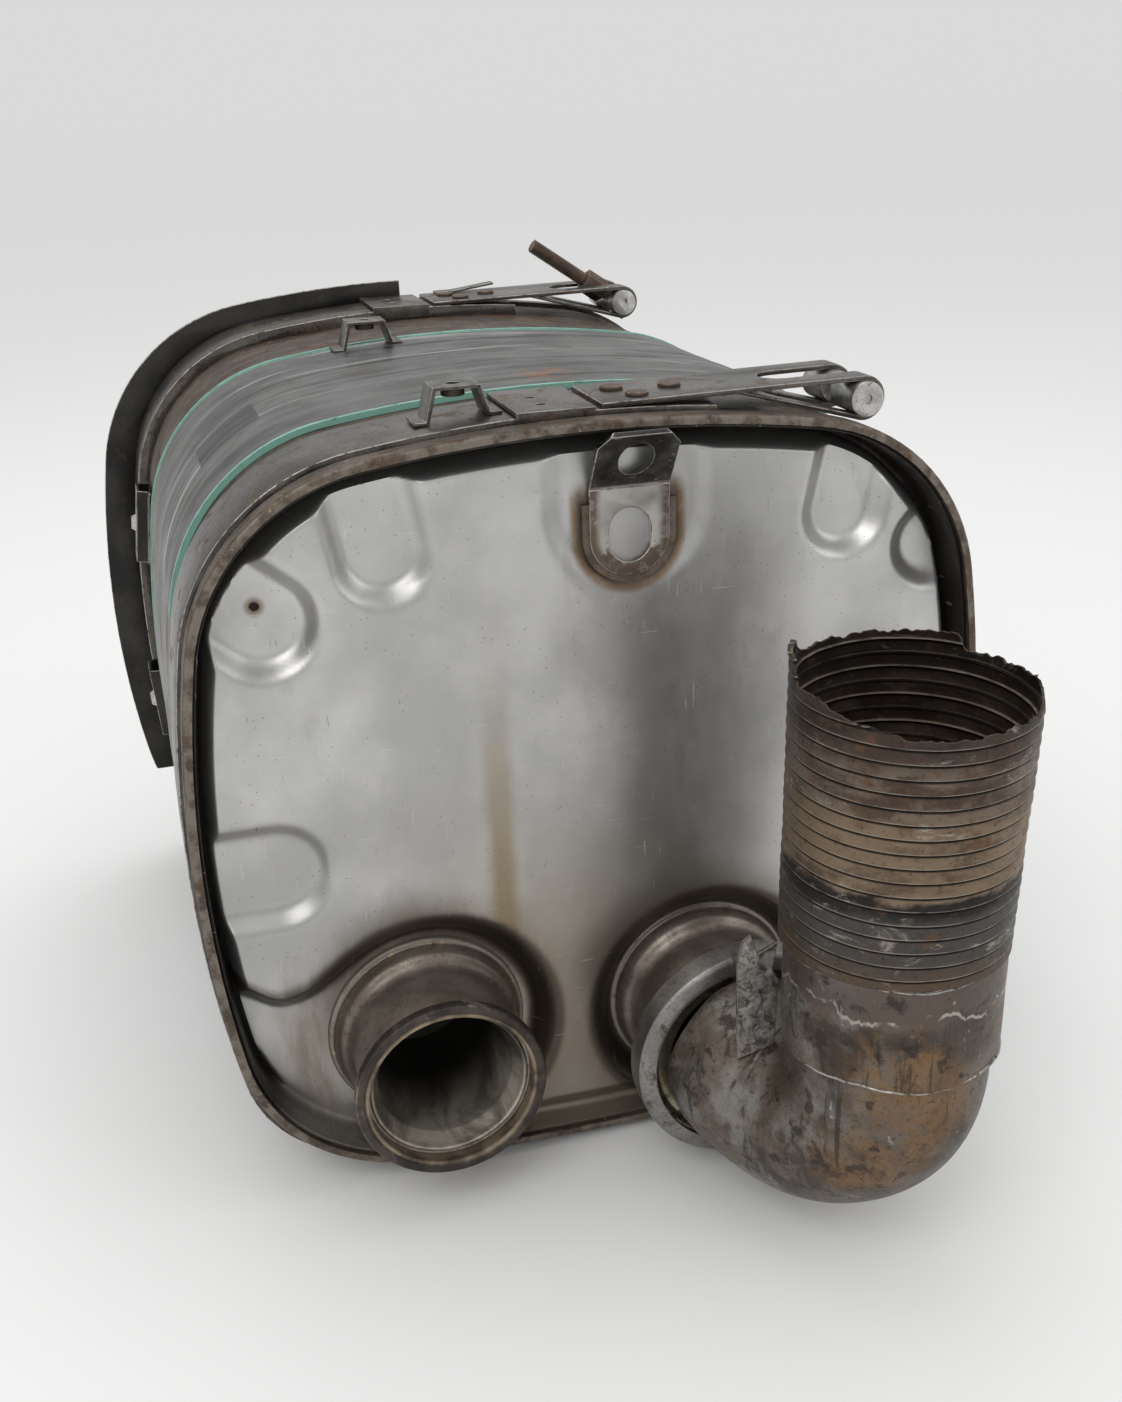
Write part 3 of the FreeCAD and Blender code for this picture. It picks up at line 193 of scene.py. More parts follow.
def rounded(points, radius, steps=3):
    """A closed profile with its corners rounded."""
    out = []
    count = len(points)
    for n, here in enumerate(points):
        here = Vector(here)
        before, after = Vector(points[n - 1]), Vector(points[(n + 1) % count])
        reach = min(radius, (here - before).length * 0.4, (after - here).length * 0.4)
        start = here + (before - here).normalized() * reach
        end = here + (after - here).normalized() * reach
        for k in range(steps + 1):
            t = k / steps
            out.append(start.lerp(here, t).lerp(here.lerp(end, t), t))
    return out


def piece(name, bm, materials, nodes=(), slot=None, angle=35, recalc=False):
    """Finish a mesh as an object that rides on the can and stands for CAD nodes."""
    if recalc:
        bmesh.ops.recalc_face_normals(bm, faces=bm.faces)
    mesh = bpy.data.meshes.new(name)
    bm.to_mesh(mesh)
    bm.free()
    mesh.polygons.foreach_set("use_smooth", [True] * len(mesh.polygons))
    mesh.set_sharp_from_angle(angle=math.radians(angle))
    for material in materials:
        mesh.materials.append(material)
    obj = bpy.data.objects.new(name, mesh)
    bpy.context.scene.collection.objects.link(obj)
    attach(obj, "root")
    if nodes:
        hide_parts(*nodes)
    return obj


def softened(node, materials, width, slot):
    """A copy of a CAD node with worn, rounded edges in a second material."""
    bm = bmesh.new()
    bm.from_mesh(frame["nodes"][node].data)
    bmesh.ops.remove_doubles(bm, verts=bm.verts, dist=2e-5)
    bmesh.ops.dissolve_limit(bm, angle_limit=math.radians(0.6), verts=bm.verts, edges=bm.edges)
    sharp = [e for e in bm.edges if len(e.link_faces) == 2 and e.calc_face_angle(0) > math.radians(28)]
    made = bmesh.ops.bevel(bm, geom=sharp, offset=width * MM, offset_type="OFFSET", affect="EDGES",
                           segments=2, profile=0.5, material=-1, clamp_overlap=True)
    for face in made["faces"]:
        face.material_index = 1
    piece(node + "_worn", bm, materials, [node], slot, angle=40)


# Materials


def add_node(tree, kind, inputs=(), **settings):
    """A node with its settings, and each input either linked to a socket or set to a value."""
    made = tree.nodes.new(kind)
    for key, value in settings.items():
        setattr(made, key, value)
    for key, value in dict(inputs).items():
        if isinstance(value, bpy.types.NodeSocket):
            tree.links.new(value, made.inputs[key])
        else:
            made.inputs[key].default_value = value
    return made


class Finish:
    """A procedural material on Object coordinates, built up in layers of colour."""

    def __init__(self, name, metallic, roughness):
        self.material = bpy.data.materials.new(name)
        self.material.use_nodes = True
        self.tree = self.material.node_tree
        self.shader = self.tree.nodes["Principled BSDF"]
        self.shader.inputs["Metallic"].default_value = metallic
        self.shader.inputs["Roughness"].default_value = roughness
        self.coords = self.tree.nodes.new("ShaderNodeTexCoord").outputs["Object"]
        self.colour = None
        self.height = None

    def node(self, kind, inputs=(), **settings):
        return add_node(self.tree, kind, inputs, **settings)

    def mapped(self, stretch, turn=(0, 0, 0), shift=(0, 0, 0)):
        return self.node("ShaderNodeMapping", {"Vector": self.coords, "Scale": stretch, "Rotation": turn,
                                               "Location": shift}).outputs[0]

    def noise(self, scale, detail=4, rough=0.55, stretch=None, distortion=0.0, turn=(0, 0, 0), shift=(0, 0, 0)):
        vector = self.mapped(stretch or (1, 1, 1), turn, shift)
        return self.node("ShaderNodeTexNoise", {"Vector": vector, "Scale": scale, "Detail": detail,
                                                "Roughness": rough, "Distortion": distortion}).outputs[0]

    def cells(self, scale, feature="F1"):
        return self.node("ShaderNodeTexVoronoi", {"Vector": self.coords, "Scale": scale},
                         feature=feature).outputs[0]

    def attribute(self, name):
        """A float attribute of the piece's own mesh."""
        return self.node("ShaderNodeAttribute", attribute_name=name).outputs["Fac"]

    def step(self, value, low, high, first=0.0, last=1.0):
        """Map low..high to first..last with a soft step."""
        return self.node("ShaderNodeMapRange", {"Value": value, "From Min": low, "From Max": high,
                                                "To Min": first, "To Max": last},
                         interpolation_type="SMOOTHSTEP").outputs[0]

    def math(self, operation, a, b=0.0):
        return self.node("ShaderNodeMath", {0: a, 1: b}, operation=operation).outputs[0]

    def both(self, *masks):
        """The product of several masks."""
        product = masks[0]
        for mask in masks[1:]:
            product = self.math("MULTIPLY", product, mask)
        return product

    def near(self, point, inner, outer, depth=1):
        """1 within inner millimetres of a point and 0 beyond outer; with no depth it looks along the can."""
        squash = Vector((1, depth, 1))
        spot = place(*point) * squash
        away = self.node("ShaderNodeVectorMath", {0: self.mapped(squash), 1: spot}, operation="DISTANCE")
        return self.step(away.outputs["Value"], inner * MM, outer * MM, 1.0, 0.0)

    def disc(self, point, inner, outer):
        return self.near(point, inner, outer, depth=0)

    def slot_distance(self, x, low, high):
        """Distance, looking along the can, from an upright line at x between two heights in millimetres."""
        start, end = place(x, 0, low), place(x, 0, high)
        z = self.node("ShaderNodeClamp", {"Value": self.axis("Z"), "Min": start.z, "Max": end.z}).outputs[0]
        side = self.math("SUBTRACT", self.axis("X"), start.x)
        rise = self.math("SUBTRACT", self.axis("Z"), z)
        return self.math("SQRT", self.math("ADD", self.both(side, side), self.both(rise, rise)))

    def axis(self, letter):
        return self.node("ShaderNodeSeparateXYZ", {0: self.coords}).outputs[letter]

    def rise(self, letter, low, high, first=0.0, last=1.0, along=None):
        """A soft step between two places along an axis, in millimetres."""
        ends = [getattr(place(mm, mm, mm), letter.lower()) for mm in (low, high)]
        return self.step(self.axis(letter) if along is None else along, *ends, first, last)

    def fall(self, letter, low, high, along=None):
        """1 below a place along an axis and 0 above another."""
        return self.rise(letter, low, high, 1.0, 0.0, along)

    def ragged(self, letter, noise, reach):
        """An axis whose places are made uneven by a noise, by up to half of reach."""
        return self.math("ADD", self.axis(letter), self.both(self.math("SUBTRACT", noise, 0.5), reach))

    def inverse(self, mask):
        return self.math("SUBTRACT", 1.0, mask)

    def base(self, first, second, mask):
        """Start with two tones."""
        self.colour = self.mix(mask, (*first, 1), (*second, 1))

    def mix(self, mask, a, b):
        return self.node("ShaderNodeMix", {0: mask, 6: a, 7: b}, data_type="RGBA").outputs[2]

    def paint(self, colour, *masks):
        """Lay a colour over what is there, by the product of its masks."""
        self.colour = self.mix(self.both(*masks), self.colour, (*colour, 1))

    def raise_by(self, height, amount):
        """Add a pattern to the bump."""
        scaled = self.math("MULTIPLY", height, amount)
        self.height = scaled if self.height is None else self.math("ADD", self.height, scaled)

    def gloss(self, mask, smooth_value, rough_value):
        """Roughness from one value to another by a mask."""
        self.tree.links.new(self.step(mask, 0, 1, smooth_value, rough_value), self.shader.inputs["Roughness"])

    def done(self, depth=0.001):
        """Join the colour and the bump to the shader."""
        self.tree.links.new(self.colour, self.shader.inputs["Base Color"])
        if self.height is not None:
            bump = self.node("ShaderNodeBump", {"Height": self.height, "Distance": depth, "Strength": 1.0})
            self.tree.links.new(bump.outputs[0], self.shader.inputs["Normal"])
        return self.material


def weathered(name, first, second, rust, rust_amount=0.4, metallic=0.7, gloss=(0.35, 0.7), size=40,
              grain=1.0, dirt=(0.03, 0.022, 0.016), dirt_amount=0.45, stretch=None):
    """Old steel: two base tones, patches of rust, scattered dirt and a fine grain."""
    fin = Finish(name, metallic, 0.5)
    broad = fin.noise(size, 5, 0.6, stretch)
    fin.base(first, second, fin.step(broad, 0.36, 0.64))
    patches = fin.noise(size * 1.7, 8, 0.68, stretch, 0.6, shift=(3, 5, 1))
    low = 0.66 - rust_amount * 0.3
    rusted = fin.step(patches, low, low + 0.13)
    fin.paint(rust, rusted)
    fine = fin.noise(size * 14, 6, 0.7, stretch, shift=(7, 2, 9))
    fin.paint(dirt, fin.step(fine, 0.62 - dirt_amount * 0.25, 0.8 - dirt_amount * 0.2), 0.75)
    pits = fin.cells(size * 22)
    fin.raise_by(fine, 0.25 * grain)
    fin.raise_by(fin.step(pits, 0.0, 0.35), 0.12 * grain)
    fin.raise_by(rusted, 0.18 * grain)
    fin.gloss(fin.math("ADD", fin.both(rusted, 0.6), fin.both(fine, 0.5)), *gloss)
    return fin


def cap_finish():
    """Bright satin pressing with a drip stain, specks, scratches and heat tint round its ports, and painted
    shade on the recess slopes, in the gutter and in the pin hole.
    """
    fin = Finish("cap_steel", 0.9, 0.4)
    edge, slope = fin.attribute("edge"), fin.attribute("slope")
    cloud = fin.noise(9, 5, 0.55)
    fin.base((0.40, 0.395, 0.385), (0.55, 0.545, 0.535), fin.step(cloud, 0.35, 0.65))
    smear = fin.noise(30, 6, 0.6, (1, 1, 0.35), 0.8)
    fin.paint((0.34, 0.33, 0.315), fin.step(smear, 0.55, 0.75, 0, 0.5))
    between = fin.both(fin.rise("X", -175, -60), fin.fall("X", 40, 120), fin.rise("Z", -125, 40, 0.75, 0.0))
    fin.paint((0.31, 0.262, 0.20), between)
    off = fin.math("ABSOLUTE", fin.math("SUBTRACT", fin.axis("X"), place(-66, 0, 0).x))
    wave = fin.both(fin.noise(60, 3, 0.5, (1, 1, 0.4)), 0.006)
    drip = fin.step(fin.math("SUBTRACT", off, wave), -0.0005, 0.0105, 1.0, 0.0)
    fading = fin.rise("Z", -40, 150, 0.9, 0.0)
    fin.paint((0.265, 0.205, 0.125), drip, fading, fin.step(cloud, 0.3, 0.6, 0.7, 1.0))
    outside = fin.step(slope, 0.1, 0.6)
    for centre, radius in ((INLET, INLET_RECESS), (OUTLET, OUTLET_RECESS)):
        heat = fin.disc(centre, radius - 2, radius + 40)
        fin.paint((0.20, 0.15, 0.105), heat, fin.step(smear, 0.3, 0.62, 0.35, 0.85))
        # painted shade: a near-black band on the slope down into each recess, under the panel's edge
        black_band = fin.disc(centre, radius + 6, radius + 22)
        fin.paint((0.038, 0.028, 0.021), black_band, outside, 0.92)
        floor = fin.disc(centre, radius - 12, radius - 5)
        fin.paint((0.36, 0.335, 0.30), floor, fin.step(smear, 0.3, 0.7, 0.5, 0.9))
        root = fin.disc(centre, radius - 14, radius - 11)
        fin.paint((0.13, 0.095, 0.06), root, fin.step(fin.noise(200, 4, 0.6), 0.35, 0.6))
    # painted shade: dark brown on the slope of the step below the panel, low on the cap
    low = fin.both(fin.step(slope, 0.2, 0.8), fin.fall("Z", -70, -60))
    fin.paint((0.11, 0.09, 0.072), low, fin.step(smear, 0.3, 0.65, 0.35, 0.8))
    around = fin.slot_distance(LUG_X, LUG_LOW, LUG_HIGH)
    rough = fin.step(fin.noise(120, 5, 0.65), 0.3, 0.55, 0.8, 1.0)
    burn = fin.both(fin.step(around, 0.021, 0.023), fin.step(around, 0.033, 0.038, 1.0, 0.0), rough,
                    fin.fall("Z", 188, 205))
    fin.paint((0.20, 0.125, 0.065), burn, 0.9)
    fin.paint((0.095, 0.072, 0.055), burn, fin.step(around, 0.030, 0.034, 0.95, 0.0))
    # the pin hole is a black disc of painted shade with a dip in the bump; the brown ring round it is a stain
    hole = fin.disc(PIN_HOLE, 1.8, 3.4)
    fin.paint((0.17, 0.105, 0.055), fin.disc(PIN_HOLE, 3.4, 7.5), 0.75)
    fin.paint((0.02, 0.015, 0.012), hole)
    # painted shade: the gutter between rim and panel near black, lighter towards the bottom of the cap
    gutter = fin.step(edge, 9.0, 15.0, 1.0, 0.0)
    bottom = fin.rise("Z", -205, -165, 0.12, 1.0)
    fin.paint((0.030, 0.024, 0.020), gutter, bottom, fin.step(smear, 0.25, 0.6, 0.82, 0.96))
    dots = fin.cells(230)
    chance = fin.step(fin.noise(45, 2, 0.5, shift=(4, 4, 4)), 0.40, 0.56)
    fin.paint((0.10, 0.065, 0.04), fin.step(dots, 0.05, 0.12, 1.0, 0.0), chance, 0.9)
    scratch = fin.noise(34, 2, 0.5, (26, 1, 1.2), 0.3, (0, 0.5, 0))
    across = fin.noise(30, 2, 0.5, (1.2, 1, 24), 0.2, (0, 0.35, 0), (2, 2, 2))
    marks = fin.math("MAXIMUM", fin.step(scratch, 0.70, 0.74), fin.step(across, 0.71, 0.75))
    fin.paint((0.68, 0.675, 0.66), marks, 0.45)
    dents = fin.step(fin.noise(30, 3, 0.6, (20, 1, 1.6), 0.8, (0, -0.4, 0), (6, 1, 3)), 0.71, 0.73)
    fin.paint((0.12, 0.10, 0.08), dents, fin.step(fin.noise(11, 2, 0.5, shift=(8, 2, 5)), 0.55, 0.6), 0.8)
    fin.raise_by(fin.noise(900, 3, 0.6), 0.03)
    fin.raise_by(cloud, 0.6)
    fin.raise_by(hole, -0.8)
    fin.raise_by(marks, -0.03)
    fin.gloss(fin.math("ADD", fin.both(smear, 0.6), fin.both(gutter, 0.5)), 0.30, 0.62)
    return fin.done(0.0012)


def collar_finish():
    """Brown heat-tinted collars whose feet are bare like the cap round them."""
    fin = weathered("collar_steel", (0.150, 0.122, 0.10), (0.25, 0.215, 0.182), (0.115, 0.078, 0.052), 0.42,
                    0.65, (0.3, 0.66), 32, 0.7, dirt_amount=0.35)
    inside = fin.math("MAXIMUM", *(fin.disc(c, 61.5, 62.8) for c in (INLET, OUTLET)))
    fin.paint((0.25, 0.222, 0.19), fin.inverse(inside), fin.step(fin.noise(60, 5, 0.6), 0.3, 0.6, 0.55, 0.95))
    gold = fin.step(fin.noise(210, 4, 0.7), 0.58, 0.64)
    fin.paint((0.40, 0.31, 0.17), gold, fin.disc(INLET, 63.2, 64), fin.rise("Y", 20, 24), 0.8)
    return fin.done(0.0008)


def lug_finish():
    """Lug plate: dark and scuffed above its bend, bare steel with brown stains below."""
    fin = Finish("lug_steel", 0.8, 0.4)
    cloud = fin.noise(60, 5, 0.6)
    fin.base((0.026, 0.024, 0.022), (0.075, 0.07, 0.065), fin.step(cloud, 0.35, 0.68))
    scuffs = fin.step(fin.noise(150, 6, 0.7, (1, 1, 2)), 0.58, 0.68)
    fin.paint((0.24, 0.22, 0.20), scuffs, 0.7)
    below = fin.fall("Z", 197, 199.5)
    fin.paint((0.46, 0.44, 0.41), below, fin.step(cloud, 0.2, 0.7, 0.8, 1.0))
    grain = fin.noise(130, 6, 0.7)
    low = fin.fall("Z", 158, 164, fin.ragged("Z", grain, 0.03))
    side = fin.both(fin.step(fin.slot_distance(LUG_X, LUG_LOW, LUG_HIGH), 0.0165, 0.0225), below)
    fin.paint((0.115, 0.085, 0.062), fin.math("MAXIMUM", low, side), fin.step(grain, 0.36, 0.52, 0.6, 0.98))
    fin.raise_by(fin.noise(420, 5, 0.65), 0.15)
    fin.raise_by(fin.both(low, grain), 0.5)
    fin.gloss(fin.both(cloud, 1.2), 0.25, 0.55)
    return fin.done(0.0008)


def ring_finish():
    """Flange ring: dark scaled face, bright bronze lip and bare bore."""
    fin = Finish("flange_steel", 0.75, 0.4)
    scale = fin.noise(45, 7, 0.66, distortion=0.4)
    fin.base((0.035, 0.029, 0.026), (0.085, 0.07, 0.06), fin.step(scale, 0.36, 0.64))
    flakes = fin.step(fin.noise(190, 6, 0.7, shift=(3, 3, 3)), 0.60, 0.67)
    fin.paint((0.26, 0.25, 0.25), flakes, fin.step(scale, 0.45, 0.6), 0.75)
    fin.paint((0.30, 0.235, 0.165), fin.disc(INLET, 52.8, 54.5), fin.step(scale, 0.36, 0.6, 0.2, 0.95))
    beyond = fin.inverse(fin.disc(INLET, 58.6, 59.2))
    fin.paint((0.30, 0.26, 0.21), beyond, fin.step(scale, 0.5, 0.62), 0.7)
    fin.raise_by(fin.noise(330, 6, 0.7), 0.25)
    fin.raise_by(scale, 0.4)
    fin.gloss(fin.noise(80, 5, 0.6), 0.2, 0.7)
    return fin.done(0.0009)


def sleeve_finish():
    """Inner sleeve: dusty bare steel at the mouth, with painted shade that turns it black deep inside and
    darkens its upper half.
    """
    fin = Finish("sleeve_steel", 0.7, 0.4)
    cloud = fin.noise(38, 7, 0.68, (1, 0.45, 1), 0.8)
    fin.base((0.19, 0.165, 0.135), (0.46, 0.415, 0.35), fin.step(cloud, 0.36, 0.64))
    dust = fin.noise(70, 6, 0.7, (1, 0.4, 1), 0.6, shift=(5, 2, 2))
    fin.paint((0.50, 0.47, 0.43), fin.step(dust, 0.60, 0.70, 0, 0.7))
    # painted shade: black deeper inside the port
    fin.paint((0.008, 0.0075, 0.007), fin.rise("Y", -20, 45))
    # painted shade: the upper half of the sleeve darker
    fin.paint((0.012, 0.011, 0.010), fin.rise("Z", INLET.z - 14, INLET.z + 16), 0.85)
    fin.raise_by(fin.noise(300, 5, 0.7), 0.2)
    fin.raise_by(cloud, 0.5)
    fin.gloss(cloud, 0.2, 0.65)
    return fin.done(0.0009)


def tab_finish():
    """Torn tab crusted with pale scale and dark spots."""
    fin = Finish("tab_steel", 0.55, 0.5)
    lumps = fin.cells(150, "SMOOTH_F1")
    cloud = fin.noise(90, 6, 0.7, distortion=0.8)
    fin.base((0.075, 0.062, 0.052), (0.30, 0.285, 0.27), fin.step(cloud, 0.38, 0.60))
    fin.paint((0.028, 0.022, 0.018), fin.step(fin.noise(140, 6, 0.7, shift=(4, 4, 4)), 0.57, 0.66))
    fin.paint((0.45, 0.44, 0.42), fin.step(fin.noise(230, 6, 0.7, distortion=1.5), 0.60, 0.66), 0.8)
    fin.raise_by(lumps, 0.9)
    fin.raise_by(cloud, 1.2)
    fin.gloss(cloud, 0.2, 0.7)
    return fin.done(0.0014)


def shield_finish():
    """Grey satin sheet with long streaks round the can, brown dirt, a dark patch and taped edges."""
    fin = Finish("shield_steel", 0.72, 0.4)
    cloud = fin.noise(14, 5, 0.6)
    fin.base((0.075, 0.077, 0.074), (0.150, 0.152, 0.146), fin.step(cloud, 0.32, 0.68))
    streaks = fin.noise(6, 4, 0.58, (0.6, 13, 0.6), 0.35)
    fin.paint((0.36, 0.365, 0.355), fin.step(streaks, 0.60, 0.68, 0, 0.85))
    dark = fin.noise(5.5, 4, 0.58, (0.6, 15, 0.6), 0.35, shift=(4, 1, 6))
    fin.paint((0.020, 0.019, 0.018), fin.step(dark, 0.58, 0.64, 0, 0.92))
    patch = fin.both(fin.rise("X", -212, -211), fin.fall("X", -171, -170), fin.rise("Y", 195.2, 196.8),
                     fin.fall("Y", 249.2, 250.8), fin.rise("Z", 60, 70))
    fin.paint((0.036, 0.037, 0.038), patch, 0.92)
    mud = fin.noise(26, 7, 0.7, (1, 3, 1), 0.6, shift=(9, 9, 1))
    fin.paint((0.115, 0.088, 0.064), fin.step(mud, 0.55, 0.68, 0, 0.75))
    fin.paint((0.22, 0.09, 0.03), fin.near((14, 163, 238), 10, 26), fin.step(fin.noise(90, 5, 0.6), 0.4, 0.6))
    broken = fin.both(fin.fall("X", -125, -124), fin.fall("Z", 114, 116))
    torn = fin.both(broken, fin.fall("Y", 150, 172))
    fin.paint((0.085, 0.05, 0.03), torn, fin.step(mud, 0.34, 0.54))
    ragged = fin.ragged("Y", fin.noise(220, 5, 0.7), 0.004)
    front = fin.both(fin.fall("Y", 125.2, 125.8, ragged), fin.inverse(broken))
    rear = fin.rise("Y", 362.2, 362.8, along=ragged)
    tape = fin.math("MAXIMUM", front, rear)
    fin.paint((0.175, 0.36, 0.30), tape, fin.step(mud, 0.62, 0.70, 1.0, 0.3))
    fin.tree.links.new(fin.step(tape, 0, 1, 0.72, 0.05), fin.shader.inputs["Metallic"])
    fin.raise_by(streaks, 0.5)
    fin.raise_by(fin.noise(260, 4, 0.6), 0.06)
    fin.gloss(fin.math("MAXIMUM", mud, fin.both(tape, 0.7)), 0.22, 0.62)
    return fin.done(0.001)


def shell_finish():
    """Dark brown shell; its rolled rim has gold flecks and a thin bare inner edge."""
    fin = weathered("rim_steel", (0.050, 0.036, 0.027), (0.115, 0.086, 0.062), (0.10, 0.056, 0.03), 0.5,
                    0.55, (0.4, 0.75), 30, 1.3, dirt_amount=0.6, stretch=(1, 1.6, 1))
    flecks = fin.both(fin.step(fin.noise(330, 4, 0.7), 0.60, 0.66), fin.step(fin.noise(38, 4, 0.6), 0.46, 0.6))
    fin.paint((0.42, 0.31, 0.16), flecks, 0.8)
    worn = fin.step(fin.noise(90, 5, 0.6), 0.42, 0.6, 0.1, 0.8)
    fin.paint((0.20, 0.175, 0.145), fin.fall("Y", 0.4, 1.6), worn)
    return fin.done(0.001)


def hose_finish():
    """Strip-wound hose: dark brown torn top, a bronze belt, a black line and dark grey bands below."""
    fin = Finish("hose_steel", 0.85, 0.4)
    cloud = fin.noise(30, 6, 0.65, (1, 1, 2.2), 0.3)
    fin.base((0.070, 0.048, 0.036), (0.165, 0.128, 0.10), fin.step(cloud, 0.38, 0.62))
    lift = fin.ragged("Z", cloud, 0.016)
    belt = fin.both(fin.rise("Z", 24, 27, along=lift), fin.fall("Z", 62, 78, lift))
    fin.paint((0.205, 0.148, 0.098), belt, fin.step(cloud, 0.34, 0.6, 0.2, 1.0))
    fin.paint((0.066, 0.062, 0.058), fin.fall("Z", 20, 26, lift), 0.92)
    fin.paint((0.105, 0.072, 0.048), fin.fall("Z", -26, -8, lift), fin.step(cloud, 0.3, 0.6, 0.4, 0.9))
    black_band = fin.both(fin.rise("Z", 10, 18, along=lift), fin.fall("Z", 23, 26, lift))
    fin.paint((0.018, 0.017, 0.016), black_band, 0.9)
    fin.paint((0.026, 0.020, 0.016), fin.rise("Z", 94, 108, along=lift), fin.step(cloud, 0.36, 0.62, 0.25, 0.9))
    shine = fin.noise(40, 7, 0.7, (1, 1, 2.4), 0.6, shift=(5, 5, 5))
    fin.paint((0.42, 0.385, 0.34), fin.step(shine, 0.57, 0.72, 0, 0.75))
    rust = fin.noise(55, 8, 0.7, shift=(1, 8, 3))
    fin.paint((0.125, 0.068, 0.038), fin.step(rust, 0.56, 0.66, 0, 0.7))
    fine = fin.noise(420, 6, 0.7)
    fin.paint((0.014, 0.011, 0.009), fin.step(fine, 0.55, 0.72, 0, 0.7))
    behind = fin.math("SUBTRACT", fin.axis("Y"), place(0, HOSE.y, 0).y)
    level = fin.math("SUBTRACT", fin.axis("Z"), fin.both(behind, BAND_TILT / HOSE_RADIUS))
    turns = fin.math("DIVIDE", fin.math("SUBTRACT", level, place(0, 0, CUFF_TOP_Z).z), BAND * MM)
    phase = fin.math("FRACT", turns)
    # painted shadow: a dark line at the top of each band, under the proud lower edge of the band above
    line = fin.both(fin.step(phase, 0.72, 0.84), fin.step(phase, 0.985, 1.0, 1.0, 0.0))
    fin.paint((0.008, 0.006, 0.005), line, 0.92)
    # painted highlight along the proud lower edge of each band
    edge = fin.both(fin.step(phase, 0.02, 0.10, 1.0, 0.0), fin.step(shine, 0.36, 0.55, 0.2, 1.0))
    fin.paint((0.34, 0.30, 0.25), edge, 0.7)
    fin.raise_by(fine, 0.25)
    fin.raise_by(rust, 0.4)
    fin.gloss(fin.math("ADD", fin.both(rust, 0.7), fin.both(fine, 0.5)), 0.16, 0.66)
    return fin.done(0.0011)


def elbow_finish():
    """Heat-scaled tube: dark brown and grey with an orange belly, bright scars and black runs."""
    fin = Finish("elbow_steel", 0.75, 0.4)
    cloud = fin.noise(17, 6, 0.62, (1, 1, 1), 0.5)
    fin.base((0.055, 0.041, 0.032), (0.145, 0.115, 0.09), fin.step(cloud, 0.38, 0.60))
    orange = fin.noise(34, 7, 0.66, (1, 1, 0.8), 0.4, shift=(2, 6, 1))
    for where, reach in (((100, -208, -112), 55), ((94, -206, -68), 38), ((86, -190, -160), 48)):
        fin.paint((0.185, 0.105, 0.048), fin.near(where, 12, reach), fin.step(orange, 0.40, 0.56))
    fin.paint((0.13, 0.075, 0.04), fin.step(orange, 0.57, 0.66, 0, 0.7))
    grey = fin.noise(24, 7, 0.66, (1, 1, 1), 0.3, shift=(8, 3, 5))
    fin.paint((0.25, 0.24, 0.225), fin.rise("X", 55, 92, 1.0, 0.12), fin.step(grey, 0.44, 0.62, 0, 0.85))
    stripes = fin.noise(30, 5, 0.65, (3.2, 3.2, 0.35), 0.6, shift=(2, 7, 7))
    fin.paint((0.03, 0.023, 0.018), fin.step(stripes, 0.56, 0.66, 0, 0.7))
    fine = fin.noise(420, 7, 0.72)
    fin.paint((0.018, 0.014, 0.011), fin.step(fine, 0.54, 0.70, 0, 0.8))
    upper = fin.both(fin.rise("Z", -56, -48), fin.fall("Z", -32, -24))
    fin.paint((0.10, 0.078, 0.066), upper, fin.step(cloud, 0.3, 0.6, 0.5, 0.9))
    blots = fin.noise(75, 6, 0.6, shift=(5, 1, 7))
    fin.paint((0.030, 0.023, 0.019), fin.step(blots, 0.56, 0.65, 0, 0.8))
    ragged = fin.ragged("Z", fin.noise(48, 4, 0.6, (1, 1, 0.2)), 0.034)
    torn = fin.both(fin.rise("Z", -52, -51, along=ragged), fin.fall("Z", -50, -49, ragged))
    fin.paint((0.34, 0.31, 0.275), torn, fin.step(blots, 0.42, 0.55))
    cuts = fin.noise(95, 7, 0.75, (1, 1, 0.6), 2.2, shift=(1, 4, 9))
    scars = fin.both(fin.step(cuts, 0.61, 0.65), fin.step(grey, 0.42, 0.58))
    fin.paint((0.46, 0.43, 0.385), scars, 0.75)
    fin.raise_by(fine, 0.22)
    fin.raise_by(blots, 0.4)
    fin.raise_by(scars, 0.3)
    fin.gloss(fin.math("ADD", fin.both(orange, 0.5), fin.both(fine, 0.6)), 0.14, 0.62)
    return fin.done(0.0011)


